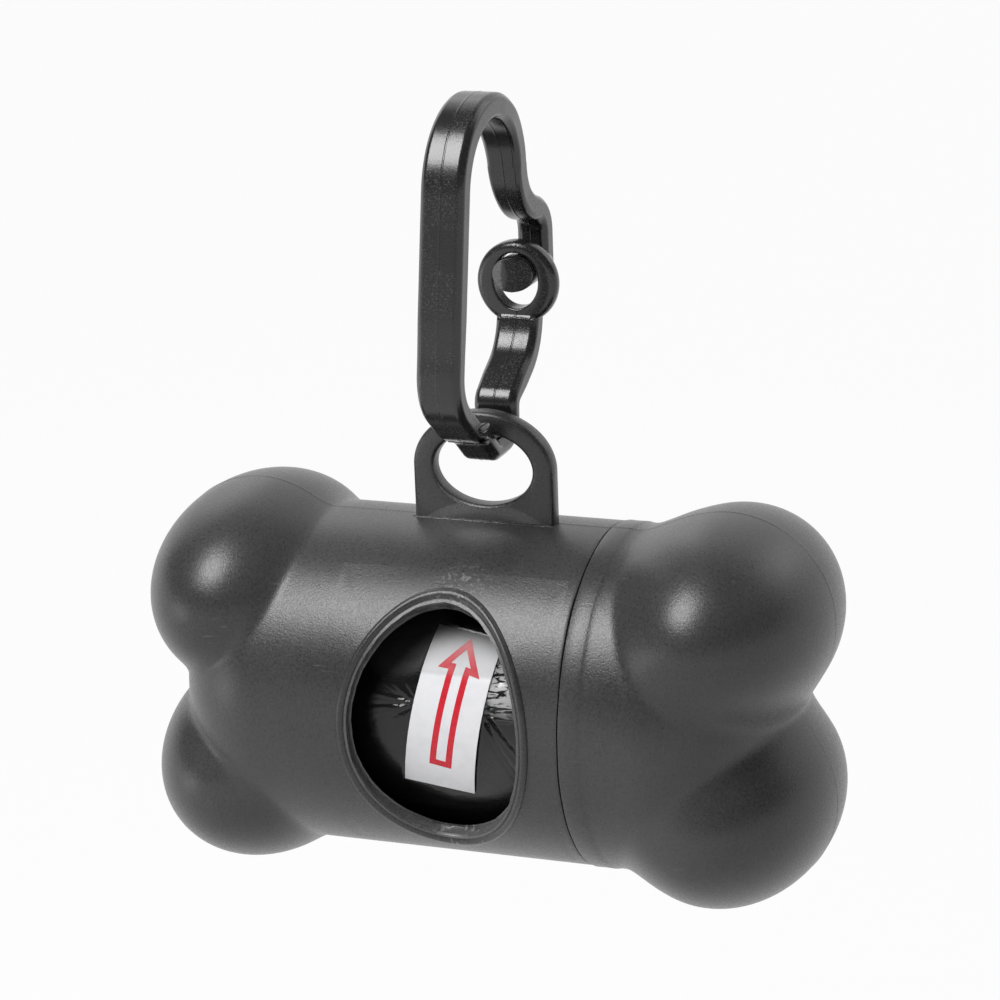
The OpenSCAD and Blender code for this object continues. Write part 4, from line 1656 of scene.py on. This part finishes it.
# %% Core of the roll
CORE_BORE = 4.2
CORE_POINTS = 72
CORE_HALF = ROLL_HALF - 0.5
CORE_OUTSIDE = CORE_R - 0.03
CORE_PROFILE = (
    (-CORE_HALF, CORE_BORE), (-CORE_HALF, CORE_OUTSIDE), (CORE_HALF, CORE_OUTSIDE), (CORE_HALF, CORE_BORE),
)


def core_tube():
    skin = Skin()
    round_s = np.linspace(0, 2 * math.pi, CORE_POINTS, endpoint=False) * ROLL_R
    made = skin.rows([on_film(x, round_s, radius) for x, radius in CORE_PROFILE])
    skin.strip(made[-1], made[0])
    return skin


core = piece("core_tube", core_tube(), "roll", BOARD, "core")
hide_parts("roll_core")

# %% [markdown]
# ## The start label
#
# The label is a strip of smooth paper laid on the roll, a tenth of a millimetre
# thick, with sharp cut edges that lift a little and a low fold near its top. A
# plane with a Shrinkwrap modifier would follow every pleat of the film. Paper is
# stiffer than that, so its points are laid on the plain roll instead.

# %% Start label
LABEL_T = 0.12
LABEL_COLUMNS = 15
LABEL_ROWS = 61


def fold_lift(x, s):
    """The low ridge of the fold across the label."""
    return 0.06 * math.exp(-(((s - 6.9 + 0.1 * x) / 0.6) ** 2))


def label_point(u, v, radius):
    """A point of the label: u across and v up, both from 0 to 1."""
    low = LABEL[0] + (LABEL[1] - LABEL[0]) * u
    high = LABEL[3] + (LABEL[2] - LABEL[3]) * u
    x, s = low + (high - low) * v
    edge_lift = 0.04 * math.sin(v * 7) * abs(2 * u - 1) ** 3
    return on_film(x, s, radius + edge_lift + fold_lift(x, s))


def start_label():
    skin = Skin()
    us = np.linspace(0, 1, LABEL_COLUMNS)
    rows = []
    for v in np.linspace(0, 1, LABEL_ROWS):
        top = [label_point(u, v, ROLL_R + LABEL_T) for u in us]
        underside = [label_point(u, v, ROLL_R + 0.01) for u in us[::-1]]
        rows.append(top + underside)
    made = skin.rows(rows)
    last = 2 * LABEL_COLUMNS - 1
    for row in (made[0], made[-1]):
        for i in range(LABEL_COLUMNS - 1):
            skin.faces.append((row[i], row[i + 1], row[last - 1 - i], row[last - i]))
    return skin


label = piece("start_label_paper", start_label(), "roll", PAPER, "label", sharp=30)
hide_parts("start_label")

# %% [markdown]
# ## The arrow
#
# The arrow shows which way to pull. It is printed, so it could be a pattern in the
# paper's material, but a pattern has to be fitted to the paper by hand. As a thin
# band of ink laid on the paper it follows the roll by itself: an outline of seven
# corners, and the same outline drawn again inside it.

# %% Corners of the arrow
ARROW_FOOT = np.array([-1.1, -3.6])
ARROW_TILT = math.radians(11)
ARROW_L = 15.2
HEAD_L = 4.0
HEAD_HALF = 2.6
BARB = 0.1
SHAFT_HALF = 1.3
LINE_W = 0.72


def arrow_corners():
    """The arrow's outline, from the foot of the shaft, anticlockwise: aside and along."""
    neck = ARROW_L - HEAD_L
    right_half = [(SHAFT_HALF, 0), (SHAFT_HALF, neck), (HEAD_HALF, neck - BARB)]
    return np.array(right_half + [(0, ARROW_L)] + [(-a, b) for a, b in reversed(right_half)])


def drawn_inside(corners, gap):
    """The same outline, moved inwards by a gap."""
    inner = []
    for i, corner in enumerate(corners):
        before = unit(corner - corners[i - 1])
        after = unit(corners[(i + 1) % len(corners)] - corner)
        n1, n2 = np.array([-before[1], before[0]]), np.array([-after[1], after[0]])
        inner.append(corner + gap * (n1 + n2) / (1 + n1 @ n2))
    return np.array(inner)


print("the arrow has", len(arrow_corners()), "corners")

# %% Band of ink
INK_T = 0.02
INK_FOOT = 0.002
PARTS = 24


def arrow_band():
    skin = Skin()
    outer = arrow_corners()
    inner = drawn_inside(outer, LINE_W)
    along = np.array([math.sin(ARROW_TILT), math.cos(ARROW_TILT)])
    aside = np.array([along[1], -along[0]])
    steps = [(0.0, INK_FOOT)] + [(share, INK_T) for share in (0.0, 0.25, 0.5, 0.75, 1.0)] + [(1.0, INK_FOOT)]
    rows = []
    for share, height in steps:
        corners = outer + (inner - outer) * share
        points = []
        for a, b in zip(corners, np.roll(corners, -1, axis=0)):
            for part in np.linspace(0, 1, PARTS, endpoint=False):
                place = a + (b - a) * part
                x, s = ARROW_FOOT + aside * place[0] + along * place[1]
                points.append(on_film(x, s, ROLL_R + LABEL_T + height + fold_lift(x, s)))
        rows.append(points)
    made = skin.rows(rows)
    skin.strip(made[-1], made[0])
    return skin


piece("label_arrow", arrow_band(), "roll", INK, "label", sharp=30)
